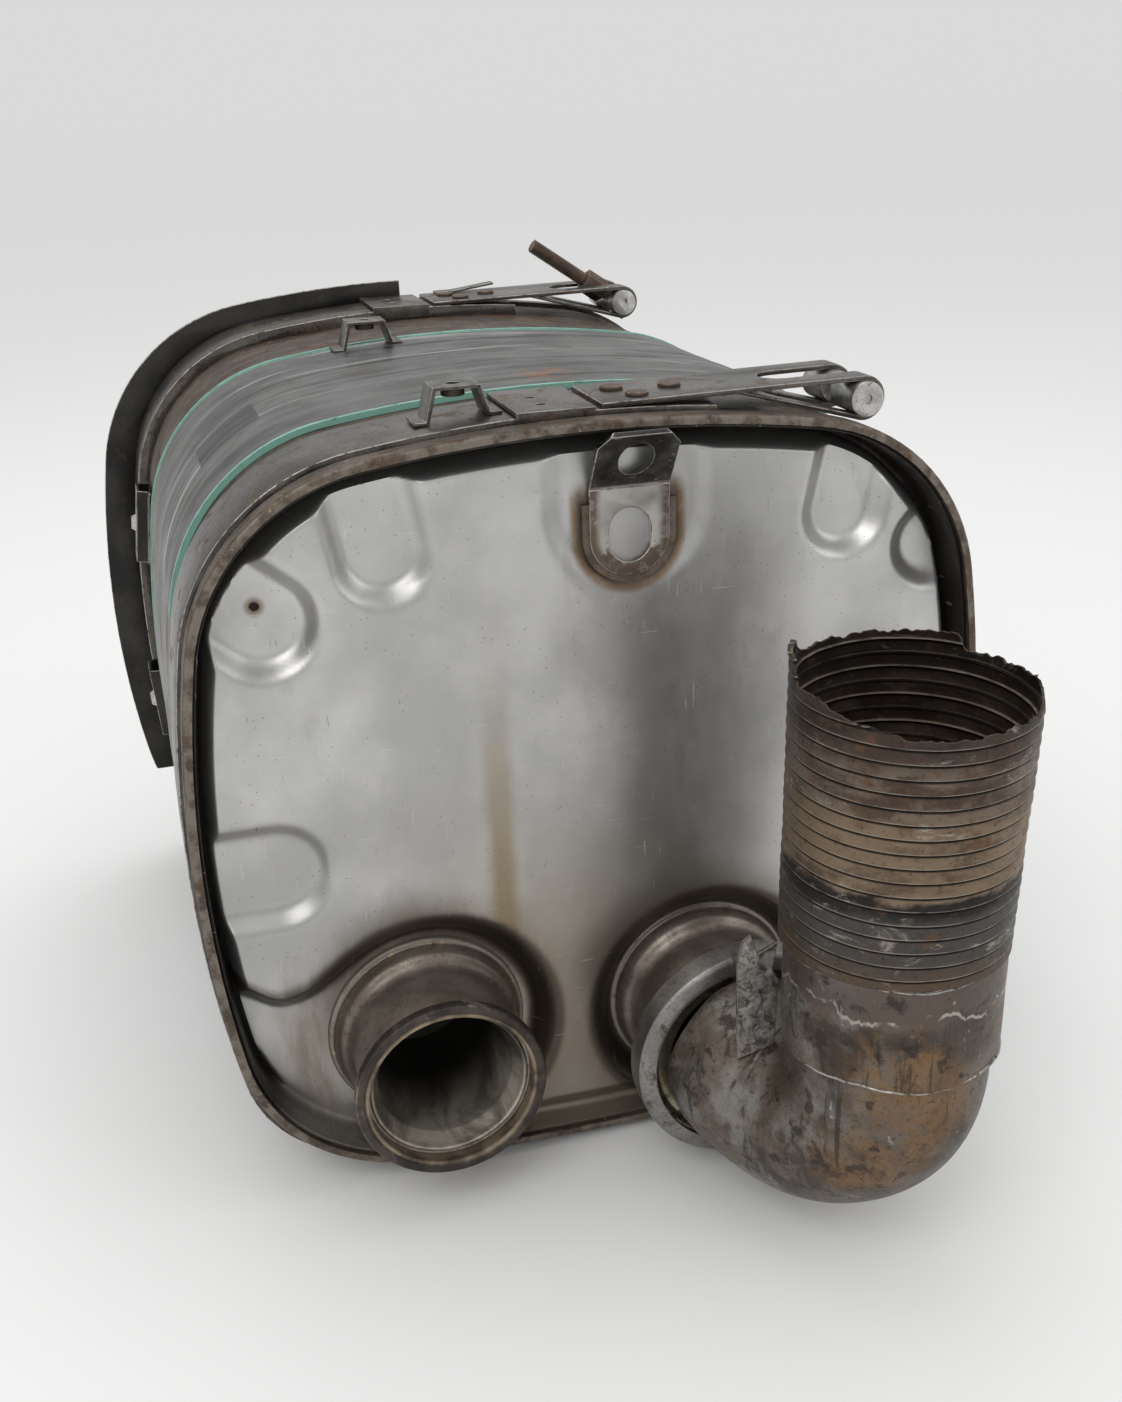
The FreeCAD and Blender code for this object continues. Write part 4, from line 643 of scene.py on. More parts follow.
PLAIN_FINISHES = {
    "strap_steel": dict(
        first=(0.060, 0.056, 0.052), second=(0.13, 0.118, 0.105), rust=(0.135, 0.088, 0.055),
        rust_amount=0.42, metallic=0.75, gloss=(0.28, 0.65), size=24, grain=0.8, dirt_amount=0.55),
    "guard_steel": dict(
        first=(0.018, 0.0175, 0.017), second=(0.040, 0.037, 0.034), rust=(0.06, 0.04, 0.026),
        rust_amount=0.2, metallic=0.75, gloss=(0.3, 0.6), size=20, grain=0.4),
    "bright_steel": dict(
        first=(0.40, 0.39, 0.37), second=(0.55, 0.54, 0.52), rust=(0.22, 0.13, 0.07), rust_amount=0.3,
        metallic=0.9, gloss=(0.25, 0.5), size=90, grain=0.4),
    "rusty_bolt": dict(
        first=(0.060, 0.042, 0.033), second=(0.125, 0.09, 0.068), rust=(0.15, 0.075, 0.038),
        rust_amount=0.5, metallic=0.4, gloss=(0.45, 0.85), size=70, grain=1.2),
    "weld_heat": dict(
        first=(0.065, 0.050, 0.040), second=(0.125, 0.095, 0.072), rust=(0.17, 0.105, 0.055),
        rust_amount=0.5, metallic=0.35, gloss=(0.45, 0.85), size=80, grain=1.4),
    "port_steel": dict(
        first=(0.155, 0.125, 0.102), second=(0.25, 0.213, 0.18), rust=(0.115, 0.075, 0.05),
        rust_amount=0.42, metallic=0.65, gloss=(0.32, 0.68), size=32, grain=0.7, dirt_amount=0.35),
    "rear_cap_steel": dict(
        first=(0.33, 0.325, 0.315), second=(0.46, 0.455, 0.445), rust=(0.20, 0.165, 0.13),
        rust_amount=0.28, metallic=0.88, gloss=(0.32, 0.6), size=14, grain=0.25, dirt_amount=0.2),
    "clamp_steel": dict(
        first=(0.20, 0.195, 0.185), second=(0.29, 0.283, 0.27), rust=(0.12, 0.10, 0.08),
        rust_amount=0.4, metallic=0.85, gloss=(0.3, 0.6), size=45, grain=0.4),
    "brass_ring": dict(
        first=(0.38, 0.32, 0.21), second=(0.50, 0.45, 0.33), rust=(0.11, 0.08, 0.05), rust_amount=0.5,
        metallic=0.9, gloss=(0.25, 0.5), size=60, grain=0.3),
    "edge_tape": dict(
        first=(0.15, 0.315, 0.26), second=(0.22, 0.42, 0.35), rust=(0.08, 0.12, 0.10), rust_amount=0.35,
        metallic=0.0, gloss=(0.45, 0.7), size=60, grain=0.4, dirt=(0.05, 0.065, 0.055),
        dirt_amount=0.45),
    "liner_steel": dict(
        first=(0.28, 0.27, 0.26), second=(0.36, 0.35, 0.34), rust=(0.2, 0.15, 0.1), rust_amount=0.2),
    "mat_fibre": dict(
        first=(0.70, 0.68, 0.62), second=(0.78, 0.76, 0.70), rust=(0.6, 0.56, 0.5), rust_amount=0.3,
        metallic=0.0, gloss=(0.8, 0.95)),
    "brick_ceramic": dict(
        first=(0.55, 0.50, 0.41), second=(0.62, 0.57, 0.47), rust=(0.5, 0.44, 0.35), rust_amount=0.3,
        metallic=0.0, gloss=(0.8, 0.95)),
    "worn_edge": dict(
        first=(0.30, 0.28, 0.255), second=(0.44, 0.42, 0.39), rust=(0.10, 0.078, 0.055),
        rust_amount=0.55, metallic=0.85, gloss=(0.25, 0.5), size=60, grain=0.2),
    "rusty_edge": dict(
        first=(0.15, 0.11, 0.08), second=(0.24, 0.185, 0.14), rust=(0.12, 0.065, 0.035),
        rust_amount=0.6, metallic=0.5, gloss=(0.4, 0.7), size=60, grain=0.6),
}


def make_finishes():
    """Every finish by the record's slot name, and the extra ones for single pieces and worn edges."""
    made = {
        "cap_steel": cap_finish(),
        "shield_steel": shield_finish(),
        "rim_steel": shell_finish(),
        "hose_steel": hose_finish(),
        "elbow_steel": elbow_finish(),
        "lug_steel": lug_finish(),
        "collar_steel": collar_finish(),
        "flange_steel": ring_finish(),
        "sleeve_steel": sleeve_finish(),
        "tab_steel": tab_finish(),
    }
    for name, settings in PLAIN_FINISHES.items():
        made[name] = weathered(name, **settings).done(0.0008)
    return made


FINISHES = {}


# Front cap

# Open dimples pressed back from the panel: middle x and z, radius, the angle that they open to, and depth
DIMPLES = [(-126, 171, 28, 101, 10), (-197, 138, 31, 140, 11), (160, 167, 26, 78, 10), (222, 140, 27, 45, 10),
           (-205, -20, 33, 180, 9), (LUG_X, 187, 50, 90, 3)]


def inset_height(depth_in, x, z):
    """Depth of the pressed face behind the rim plane, for a point depth_in inside the outline."""
    gutter = GUTTER_DEPTH - 17.0 * smooth(-z, 150, 208)
    level = gutter - (gutter - PANEL_DEPTH) * smooth(depth_in + side_shift(x), 7.5, 20.0)
    level -= 1.6 * (1 - (x / 250) ** 2) * (1 - (z / 240) ** 2) * smooth(depth_in, 25, 80)
    for cx, cz, radius, turn, deep in DIMPLES:
        away = dimple_distance(x, z, cx, cz, radius, turn)
        level = max(level, PANEL_DEPTH + deep * smooth(-away, -5.0, 10.0))
    level = max(level, PANEL_DEPTH + RECESS_DEPTH * smooth(-recess_distance(x, z), -9.0, 9.0))
    return level + 0.35 * wobble(x, 0, z, 45, 3.0)


def side_shift(x):
    """How much nearer to the rim the panel's edge lies at the can's sides."""
    return 5.0 * smooth(abs(x), 200, 238)


def dimple_distance(x, z, cx, cz, radius, turn):
    """Signed distance to a U-shaped dimple that is open along the turned direction."""
    angle = math.radians(turn)
    dx, dz = x - cx, z - cz
    along = dx * math.cos(angle) + dz * math.sin(angle)
    side = -dx * math.sin(angle) + dz * math.cos(angle)
    return (math.hypot(side, min(along, 0)) if along < 0 else abs(side)) - radius


def low_corner_distance(x, z):
    """Signed distance to the lower left corner's level, joined softly to the inlet's recess."""
    line = z + 111 - 16 * smooth(-x, 208, 240)
    circle = math.hypot(x - INLET.x, z - INLET.z) - INLET_RECESS
    if x > INLET.x:
        return circle
    knee = 25.0
    share = max(knee - abs(line - circle), 0) / knee
    return min(line, circle) - share * share * knee / 4


def recess_distance(x, z):
    """Signed distance to the lower levels round both ports."""
    return min(low_corner_distance(x, z), math.hypot(x - OUTLET.x, z - OUTLET.z) - OUTLET_RECESS)


def cap_rings():
    """Rings from the lip down the wall, across the gutter and over the panel, with each one's inset."""
    rings, marks = [], []

    def add(inset, share, wall=None):
        def ring(turn):
            p = outline(turn, -inset)
            if wall is not None:
                low = inset_height(0, p.x, p.y)
                return place(p.x, 4 + (low - 4) * wall, p.y)
            p = p.lerp(Vector((0, 0)), share)
            return place(p.x, inset_height(inset + share * 200, p.x, p.y), p.y)
        rings.append(ring)
        marks.append(inset + share * 200)

    for inset, share in ((2.3, 0), (4.2, 0), (4.3, 0.25), (4.4, 0.55), (4.6, 0.82), (5.4, 0.93), (7, 0.985)):
        add(inset, 0, share)
    inset = 8.2
    while inset < 80:
        add(inset, 0)
        inset += 1.3 if inset < 24 else 2.2
    steps = 36
    for n in range(1, steps):
        add(inset, n / steps * 0.985)
    return rings, marks


def make_cap():
    """The pressed cap: one sheet with its ports cut out, given its thickness at the end."""
    rings, marks = cap_rings()
    bm = skin(600, rings, marks=marks)
    slope = bm.verts.layers.float.new("slope")
    edge = bm.verts.layers.float["edge"]
    for vert in bm.verts:
        p = (vert.co - RIM) / MM
        vert[edge] += side_shift(p.x)
        vert[slope] = math.exp(-((recess_distance(p.x, p.z) - 4.5) / 9) ** 2)
    centre = place(0, PANEL_DEPTH, 0)
    edges = [e for e in bm.edges if e.is_boundary and (e.verts[0].co - centre).length < 0.06]
    bmesh.ops.holes_fill(bm, edges=edges, sides=0)
    doomed = []
    for face in bm.faces:
        p = (face.calc_center_median() - RIM) / MM
        if any(math.hypot(p.x - c.x, p.z - c.z) < PORT_RADIUS + 3 for c in (INLET, OUTLET)):
            doomed.append(face)
    bmesh.ops.delete(bm, geom=doomed, context="FACES")
    bmesh.ops.recalc_face_normals(bm, faces=bm.faces)
    middle = min(bm.faces, key=lambda f: (f.calc_center_median() - place(0, PANEL_DEPTH, 60)).length)
    if middle.normal.y > 0:
        bmesh.ops.reverse_faces(bm, faces=bm.faces)
    cap = piece("pressed_cap", bm, [FINISHES["cap_steel"]], ["front_end_cap"], "cap_steel", angle=60)
    wall = cap.modifiers.new("thickness", "SOLIDIFY")
    wall.thickness = CAP_SHEET * MM
    wall.offset = -1


# Heat shield

SHIELD_FRONT, SHIELD_BACK = 119, 369
SHIELD_INSIDE, SHIELD_OUTSIDE = 0.05, 3.0

# Creases of the shield: place along the can, width, height and seed of the noise
CREASES = [(156, 6, 1.7, 1), (176, 5, 1.3, 8), (196, 7, 1.5, 4), (218, 5, 1.5, 12), (240, 6, 1.8, 7),
           (268, 8, 1.3, 2), (300, 6, 1.7, 9), (336, 7, 1.4, 5)]


def shield_rise(turn, y):
    """Long creases round the shield, of uneven depth."""
    p = outline(turn, 0)
    rise = 0.0
    for centre, width, height, seed in CREASES:
        drift = 7 * wobble(p.x, 0, p.y, 120, seed)
        share = max(0.35 + 0.9 * wobble(p.x, centre, p.y, 95, seed), 0)
        rise += height * share * math.exp(-((y - centre - drift) / width) ** 2)
    rise += 0.5 * wobble(p.x, y * 2, p.y, 60, 11)
    return rise * smooth(y, 123.5, 134) * smooth(-y, -364.5, -354)


def make_shield():
    """The creased shield as a closed band round the can."""
    rows = 73
    depths = [SHIELD_FRONT + (SHIELD_BACK - SHIELD_FRONT) * n / rows for n in range(rows + 1)]

    def wall(depth, outer):
        def ring(turn):
            p = outline(turn, SHIELD_OUTSIDE + shield_rise(turn, depth) if outer else SHIELD_INSIDE)
            return place(p.x, depth, p.y)
        return ring

    rings = [wall(depths[0], False)] + [wall(depth, True) for depth in depths] + [wall(depths[-1], False)]
    bm = skin(720, rings, close=True)
    piece("creased_shield", bm, [FINISHES["shield_steel"]], ["heat_shield"], "shield_steel", recalc=True)


# Ports

COLLAR_SEAT = 30.0
INLET_MOUTH, OUTLET_MOUTH = -38.0, -47.5


def port_piece(name, node, port, depth, profile, rounding, finish, slot, angle):
    """Turn a profile of (radius, distance outwards) about a port's axis."""
    bm = turned(rounded(profile, rounding), place(port.x, depth, port.z), Vector((0, -1, 0)))
    piece(name, bm, [FINISHES[finish]], [node], slot, angle=angle)


def make_ports():
    """Both collars, the inlet's ring and sleeve, and the outlet's clamp and seal."""
    bore, neck = PORT_RADIUS, 61
    for side, port, mouth in (("inlet", INLET, INLET_MOUTH), ("outlet", OUTLET, OUTLET_MOUTH)):
        end = COLLAR_SEAT - mouth
        profile = [(neck - 2.5, 0), (neck + 4, 0), (neck + 3.4, 2.6), (neck, 3.2), (neck, 8),
                   (neck - 2, 13), (bore + 2.5, 16), (bore, 21), (bore, end), (bore - 2.5, end),
                   (bore - 2.5, 20), (neck - 4, 12), (neck - 2.5, 8)]
        port_piece(side + "_collar_drawn", side + "_collar", port, COLLAR_SEAT, profile, 2.2, "collar_steel",
                   "port_steel", 50)
    profile = [(51, 0), (56, 0), (59.5, 1.5), (59.5, 7.6), (58.6, 9), (54.5, 9), (53.4, 7.2), (51.8, 7.0),
               (51, 7.8)]
    port_piece("inlet_ring_turned", "inlet_flange_ring", INLET, INLET_MOUTH, profile, 0.9, "flange_steel",
               "port_steel", 40)
    profile = [(42.5, -118), (44, -118), (44, -16), (46, -11), (47.6, -3.2), (49.4, -3), (49.4, 0), (47.2, 0),
               (46, -4), (42.5, -12)]
    port_piece("inlet_sleeve_turned", "inlet_sleeve", INLET, INLET_MOUTH, profile, 1.2, "sleeve_steel",
               "port_steel", 45)
    profile = [(52, -15.5), (60, -15.5), (70, -10.5), (73, -8.0), (73, 8.0), (70, 10.4), (65, 11.5), (62, 11.5),
               (62.5, 9.5), (69, 7.4), (70, 6.5), (70, -7), (58, -11.5), (52, -11.5)]
    port_piece("outlet_clamp_rolled", "outlet_clamp", OUTLET, OUTLET_MOUTH, profile, 1.0, "clamp_steel",
               "clamp_steel", 40)
    profile = [(50, 0), (65.7, 0), (69.7, 3), (69.7, 6), (62, 6), (59, 3), (50, 3)]
    port_piece("outlet_seal_turned", "outlet_seal_ring", OUTLET, OUTLET_MOUTH, profile, 1.1, "brass_ring",
               "brass_ring", 40)


# Elbow, cuff and hose

UP = Vector((0, 0, 1))
HOSE = Vector((118, -150, 0))
HOSE_LEAN, HOSE_NECK, HOSE_FLARE, HOSE_RADIUS = 0.035, 62.3, 3.0, 64.0
ELBOW_RADIUS, ELBOW_WALL, ELBOW_BEND, ELBOW_DIP = 57.0, 3.5, 64.0, math.radians(18)
ELBOW_FACE = -59.4
CUFF_INSIDE, CUFF_OUTSIDE = 57.3, 61.5
SEAM_Z, CUFF_TOP_Z, HOSE_TOP_Z = -90.0, -28.0, 146.0
BAND, BAND_STEP, BAND_TILT, HOSE_SHEET = 8.2, 1.6, 2.0, 1.5

# The elbow's mouth turns towards the clamp: distance back from its face, and how far it moves sideways
ELBOW_MOUTH = ((30, 5), (24, 4), (18, 3), (12, 1.5), (6, 0.5))


def elbow_stations():
    """(centre, direction) along the elbow in millimetres from its mouth to the seam, and its level side."""
    start = Vector((OUTLET.x, -60, OUTLET.z))
    flat = Vector((HOSE.x - start.x, HOSE.y - start.y, 0))
    run = (flat.length - ELBOW_BEND * (1 + math.sin(ELBOW_DIP))) / math.cos(ELBOW_DIP)
    flat.normalize()
    heading = flat * math.cos(ELBOW_DIP) - UP * math.sin(ELBOW_DIP)
    lift = flat * math.sin(ELBOW_DIP) + UP * math.cos(ELBOW_DIP)
    first = start + heading * run
    centre = first + lift * ELBOW_BEND
    stations = [(start - heading * back + Vector((shift, 0, 0)), heading) for back, shift in ELBOW_MOUTH]
    stations += [(start.lerp(first, t), heading) for t in (0, 0.33, 0.66)]
    low = -math.pi / 2 - ELBOW_DIP
    count = 30
    for n in range(count + 1):
        a = low * (1 - n / count)
        stations.append((centre + (flat * math.cos(a) + UP * math.sin(a)) * ELBOW_BEND,
                         -flat * math.sin(a) + UP * math.cos(a)))
    last = stations[-1][0]
    top = Vector((last.x, last.y, SEAM_Z - 0.2))
    return stations + [(last.lerp(top, 0.5), UP), (top, UP)], flat.cross(UP).normalized()


def tube_ring(centre, direction, radius, across):
    """A ring across a direction; across is held level so that rings don't twist."""
    other = direction.cross(across).normalized()

    def ring(turn):
        a = turn * TAU
        r = radius(a) if callable(radius) else radius
        p = centre + (across * math.cos(a) + other * math.sin(a)) * r
        return place(*p)
    return ring


def make_elbow():
    """The elbow from its turned-in mouth to the seam, with its two wavy seams."""
    stations, across = elbow_stations()
    count = len(stations)

    def narrowing(n):
        return 0.9 * max(len(ELBOW_MOUTH) - n, 0)

    def outer(n):
        def radius(a):
            dent = 0.3 * math.sin(3 * a + n * 0.3) + 0.3 * math.sin(5 * a - n * 0.2)
            creases = 0.5 * math.sin(n * 2.1 + 0.6 * math.sin(2 * a)) * smooth(-n, -16, -6)
            dented = smooth(n, 7, 13) * smooth(-n, 1 - count, 6 - count)
            return ELBOW_RADIUS - narrowing(n) + creases + dent * dented
        return radius

    rings = [tube_ring(c, d, outer(n), across) for n, (c, d) in enumerate(stations)]
    rings += [tube_ring(c, d, ELBOW_RADIUS - ELBOW_WALL - narrowing(n), across)
              for n, (c, d) in reversed(list(enumerate(stations)))]
    bm = skin(160, rings, close=True)
    bmesh.ops.bisect_plane(bm, geom=bm.verts[:] + bm.edges[:] + bm.faces[:], dist=1e-6,
                           plane_co=place(0, ELBOW_FACE, 0), plane_no=(0, 1, 0), clear_outer=True)
    bmesh.ops.bridge_loops(bm, edges=[e for e in bm.edges if e.is_boundary])
    piece("elbow_bent", bm, [FINISHES["elbow_steel"]], ["outlet_elbow"], "elbow_steel", recalc=True)
    seam_piece("elbow_seam", SEAM_Z - 2.6, ELBOW_RADIUS + 3.4, 1.1, 1.7)
    seam_piece("cuff_seam", CUFF_TOP_Z - 1.4, 61.0, 1.2, 1.6)


def seam_piece(name, z, radius, width, height):
    """A thin wavy bead round the hose's axis, worn bright."""
    profile = [(radius - 0.4, -width), (radius + height * 0.7, -width * 0.6), (radius + height, 0),
               (radius + height * 0.7, width * 0.6), (radius - 0.4, width)]
    bm = turned(rounded(profile, 0.6, 2), place(HOSE.x, HOSE.y, z), UP, 200)
    for vert in bm.verts:
        p = (vert.co - place(HOSE.x, HOSE.y, z)) / MM
        a = math.atan2(p.y, p.x)
        vert.co.z += 0.0011 * math.sin(a * 5 + 1) + 0.0008 * wobble(p.x, p.y, 0, 7, 4)
    piece(name, bm, [FINISHES["worn_edge"]], slot="elbow_steel", angle=60)


def make_cuff():
    """The slightly lumpy cuff between the elbow and the hose."""
    def wall(z, radius):
        return tube_ring(Vector((HOSE.x, HOSE.y, z)), UP, radius, Vector((1, 0, 0)))

    def dented(z):
        def radius(a):
            lumps = 0.35 * wobble(math.cos(a) * 60, math.sin(a) * 60, z, 22, 2)
            return CUFF_OUTSIDE + 0.5 * math.sin(4 * a + z * 0.05) + lumps
        return radius

    low, count = SEAM_Z - 3, 26
    levels = [low + (CUFF_TOP_Z - low) * n / count for n in range(count + 1)]
    rings = [wall(low, CUFF_INSIDE)] + [wall(z, dented(z)) for z in levels] + [wall(CUFF_TOP_Z, CUFF_INSIDE)]
    bm = skin(160, rings, close=True)
    piece("cuff_rolled", bm, [FINISHES["elbow_steel"]], ["hose_cuff"], "elbow_steel", recalc=True)


def torn_height(angle):
    """Height of the torn top edge round the hose, in millimetres from the rim's centre."""
    turn = math.degrees(angle) % 360
    height = 118 + 8 * smooth(turn, 36, 42)
    height += 12 * smooth(turn, 128, 150) - 13 * smooth(turn, 168, 174)
    height -= 11 * smooth(turn, 182, 250)
    height += 4 * smooth(turn, 318, 355)
    c, s = math.cos(angle), math.sin(angle)
    height += 2.4 * wobble(c * 60, s * 60, 0, 9, 5) + 1.8 * wobble(c * 60, s * 60, 0, 3.2, 8)
    return min(height, HOSE_TOP_Z - 1)


def hose_radius(z, angle):
    """Strip-wound bands: each one's lower edge stands proud of the band beneath it."""
    share = (z - CUFF_TOP_Z) / (HOSE_TOP_Z - CUFF_TOP_Z)
    phase = ((z - CUFF_TOP_Z) / BAND) % 1.0
    crest = 1 - 0.55 * smooth(phase, 0.0, 0.85) - 0.45 * smooth(phase, 0.84, 0.90) + smooth(phase, 0.985, 1.0)
    bulge = 0.4 * wobble(math.cos(angle) * 50, math.sin(angle) * 50, z, 26, 6)
    return HOSE_NECK + HOSE_FLARE * share + BAND_STEP * crest + bulge


def make_hose():
    """The wound hose, leaning a little, with its torn and curled top."""
    levels = []
    base = CUFF_TOP_Z
    while base < HOSE_TOP_Z:
        levels += [base + BAND * phase for phase in (0.0, 0.08, 0.4, 0.78, 0.86, 0.92, 0.985)]
        base += BAND
    front = (CAD_BOX[0][1] - RIM.y) / MM

    def wall(z, inward):
        def ring(turn):
            a = turn * TAU
            tilt = BAND_TILT * math.sin(a)
            top = torn_height(a)
            h = min(max(z + tilt, CUFF_TOP_Z + 0.2), top)
            curl = 1.4 * smooth(h, top - 9, top) * wobble(math.cos(a) * 60, math.sin(a) * 60, 0, 12, 3)
            r = hose_radius(max(h - tilt, CUFF_TOP_Z), a) - inward + curl
            return place(HOSE.x + HOSE_LEAN * h + r * math.cos(a), max(HOSE.y + r * math.sin(a), front), h)
        return ring

    rings = [wall(z, 0) for z in levels] + [wall(z, HOSE_SHEET) for z in levels[::-2]]
    bm = skin(300, rings, close=True)
    bmesh.ops.remove_doubles(bm, verts=bm.verts, dist=4e-5)
    bmesh.ops.dissolve_degenerate(bm, edges=bm.edges, dist=1e-6)
    piece("hose_torn", bm, [FINISHES["hose_steel"]], ["flex_hose"], "hose_steel", angle=38, recalc=True)


# T-bolt

BOLT_ROOT = Vector((174, 510.5, 237))
BOLT_LEAN = math.radians(34.4)
THREAD_START, THREAD_END, THREAD_RADIUS, THREAD_PITCH = 31.0, 86.0, 6.0, 1.75


def make_bolt():
    """The T-bolt's head and shank from the carried-over mesh, and a cut thread on its end."""
    along = Vector((-math.cos(BOLT_LEAN), 0, math.sin(BOLT_LEAN)))
    bm = bmesh.new()
    bm.from_mesh(frame["nodes"]["rear_t_bolt"].data)
    bmesh.ops.remove_doubles(bm, verts=bm.verts, dist=2e-5)
    bmesh.ops.bisect_plane(bm, geom=bm.verts[:] + bm.edges[:] + bm.faces[:], dist=1e-6,
                           plane_co=place(*(BOLT_ROOT + along * (THREAD_START + 0.4))), plane_no=along,
                           clear_outer=True)
    bmesh.ops.holes_fill(bm, edges=[e for e in bm.edges if e.is_boundary], sides=0)
    body = bpy.data.meshes.new("shank")
    bm.to_mesh(body)
    bm.free()
    reach = THREAD_END - THREAD_START
    count = int(reach / THREAD_PITCH * 7)

    def thread(n):
        height = reach * n / count

        def radius_at(a):
            phase = (height / THREAD_PITCH - a / TAU) % 1.0
            return (THREAD_RADIUS - 0.95 * abs(2 * phase - 1)) * (0.93 if n in (0, count) else 1)
        return tube_ring(BOLT_ROOT + along * (THREAD_START + height), along, radius_at, Vector((0, 1, 0)))

    bm = skin(40, [thread(n) for n in range(count + 1)])
    bmesh.ops.holes_fill(bm, edges=[e for e in bm.edges if e.is_boundary], sides=0)
    bmesh.ops.recalc_face_normals(bm, faces=bm.faces)
    bm.from_mesh(body)
    bpy.data.meshes.remove(body)
    piece("t_bolt_threaded", bm, [FINISHES["rusty_bolt"]], ["rear_t_bolt"], "rusty_bolt", angle=30)


# Operators and stage


class CanSizes(bpy.types.PropertyGroup):
    """Sizes that a user would change."""
    edge_wear: FloatProperty(name="Edge wear", description="Width of the worn edge on plates", default=0.5 * MM,
                             unit="LENGTH")
    floor_size: FloatProperty(name="Floor size", description="Side of the studio floor", default=60.0,
                              unit="LENGTH")
    lens: FloatProperty(name="Lens", description="Focal length of the camera in millimetres", default=39.8)


class CanColours(bpy.types.PropertyGroup):
    """Colours that a user would change."""
    floor: FloatVectorProperty(name="Floor", description="Colour of the floor", default=(0.80, 0.80, 0.795),
                               subtype="COLOR", size=3)
    backdrop: FloatVectorProperty(name="Backdrop", description="Colour behind the can",
                                  default=(0.70, 0.702, 0.70), subtype="COLOR", size=3)


OWN_FINISH = {"lifting_lug": "lug_steel", "elbow_tab": "tab_steel", "rear_end_cap": "rear_cap_steel"}


class CAN_OT_finishes(bpy.types.Operator):
    """Make the finishes and give them to the carried-over pieces"""
    bl_idname = "can.finishes"
    bl_label = "Finishes"

    def execute(self, context):
        FINISHES.update(make_finishes())
        for part in frame["record"]["subparts"]:
            obj = frame["nodes"][part["node"]]
            material = FINISHES[OWN_FINISH.get(part["node"], part["material_slot"])]
            if obj.material_slots:
                obj.material_slots[0].material = material
            else:
                raise RuntimeError(part["node"] + " has no material slot")
        return {"FINISHED"}


class CAN_OT_cap(bpy.types.Operator):
    """Press the front cap with its gutter, dimples and port recesses"""
    bl_idname = "can.cap"
    bl_label = "Front cap"

    def execute(self, context):
        make_cap()
        return {"FINISHED"}


class CAN_OT_shield(bpy.types.Operator):
    """Wrap the creased heat shield round the can"""
    bl_idname = "can.shield"
    bl_label = "Heat shield"

    def execute(self, context):
        make_shield()
        return {"FINISHED"}


class CAN_OT_plates(bpy.types.Operator):
    """Round the edges of straps, clips, saddles, brackets, pins and the lug, and cut the bolt's thread"""
    bl_idname = "can.plates"
    bl_label = "Plates and fittings"

    def execute(self, context):
        slots = {part["node"]: part["material_slot"] for part in frame["record"]["subparts"]}
        width = context.scene.can_sizes.edge_wear / MM
        for nodes, edge in ((WORN_PLATES, "worn_edge"), (RUSTY_PLATES, "rusty_edge")):
            for node in nodes:
                face = OWN_FINISH.get(node, slots[node])
                softened(node, [FINISHES[face], FINISHES[edge]], width, slots[node])
        make_bolt()
        return {"FINISHED"}

WORN_PLATES = ["front_strap", "rear_strap", "front_strap_loop", "rear_strap_loop", "front_strap_clip",
               "rear_strap_clip", "front_trunnion", "rear_trunnion", "front_saddle", "rear_saddle",
               "rear_strap_tab", "upper_side_bracket", "lower_side_bracket", "lifting_lug", "rear_rim_guard"]
RUSTY_PLATES = ["rear_t_bolt_nut", "front_saddle_nut", "rear_saddle_nut", "front_loop_rivets",
                "rear_loop_rivets", "elbow_tab"]


class CAN_OT_ports(bpy.types.Operator):
    """Turn the collars, rings, clamp and seal"""
    bl_idname = "can.ports"
    bl_label = "Ports"

    def execute(self, context):
        make_ports()
        return {"FINISHED"}


class CAN_OT_elbow(bpy.types.Operator):
    """Bend the elbow and roll the cuff above it"""
    bl_idname = "can.elbow"
    bl_label = "Elbow and cuff"

    def execute(self, context):
        make_elbow()
        make_cuff()
        return {"FINISHED"}


class CAN_OT_hose(bpy.types.Operator):
    """Wind the hose and tear its top"""
    bl_idname = "can.hose"
    bl_label = "Hose"

    def execute(self, context):
        make_hose()
        return {"FINISHED"}


def plain_material(name, colour, roughness=0.9):
    material = bpy.data.materials.new(name)
    material.use_nodes = True
    shader = material.node_tree.nodes["Principled BSDF"]
    shader.inputs["Base Color"].default_value = (*colour, 1)
    shader.inputs["Roughness"].default_value = roughness
    return material


def soft_light(name, where, target, size, power):
    lamp = bpy.data.lights.new(name, "AREA")
    lamp.shape = "RECTANGLE"
    lamp.size, lamp.size_y = size
    lamp.energy = power
    obj = bpy.data.objects.new(name, lamp)
    obj.location = where
    obj.rotation_euler = (Vector(target) - Vector(where)).to_track_quat("-Z", "Y").to_euler()
    bpy.context.scene.collection.objects.link(obj)


def make_world(colour):
    """A pale surround: seen by the camera and in reflections, and a little stronger as a light."""
    world = bpy.data.worlds.new("studio")
    world.use_nodes = True
    tree = world.node_tree
    tree.nodes.clear()
    path = add_node(tree, "ShaderNodeLightPath").outputs
    seen = add_node(tree, "ShaderNodeMath", {0: path["Is Camera Ray"], 1: path["Is Glossy Ray"]},
                    operation="MAXIMUM")
    lit = add_node(tree, "ShaderNodeBackground", {0: (1.0, 1.0, 1.0, 1), 1: 0.87})
    shown = add_node(tree, "ShaderNodeBackground", {0: (*colour, 1), 1: 1.0})
    mixed = add_node(tree, "ShaderNodeMixShader", {0: seen.outputs[0], 1: lit.outputs[0], 2: shown.outputs[0]})
    add_node(tree, "ShaderNodeOutputWorld", {0: mixed.outputs[0]})
    bpy.context.scene.world = world


CAMERA_PLACE = (-261.2, -825.2, 419.1)
CAMERA_YAW, CAMERA_PITCH, CAMERA_ROLL = 0.2747, 0.3823, -0.0343


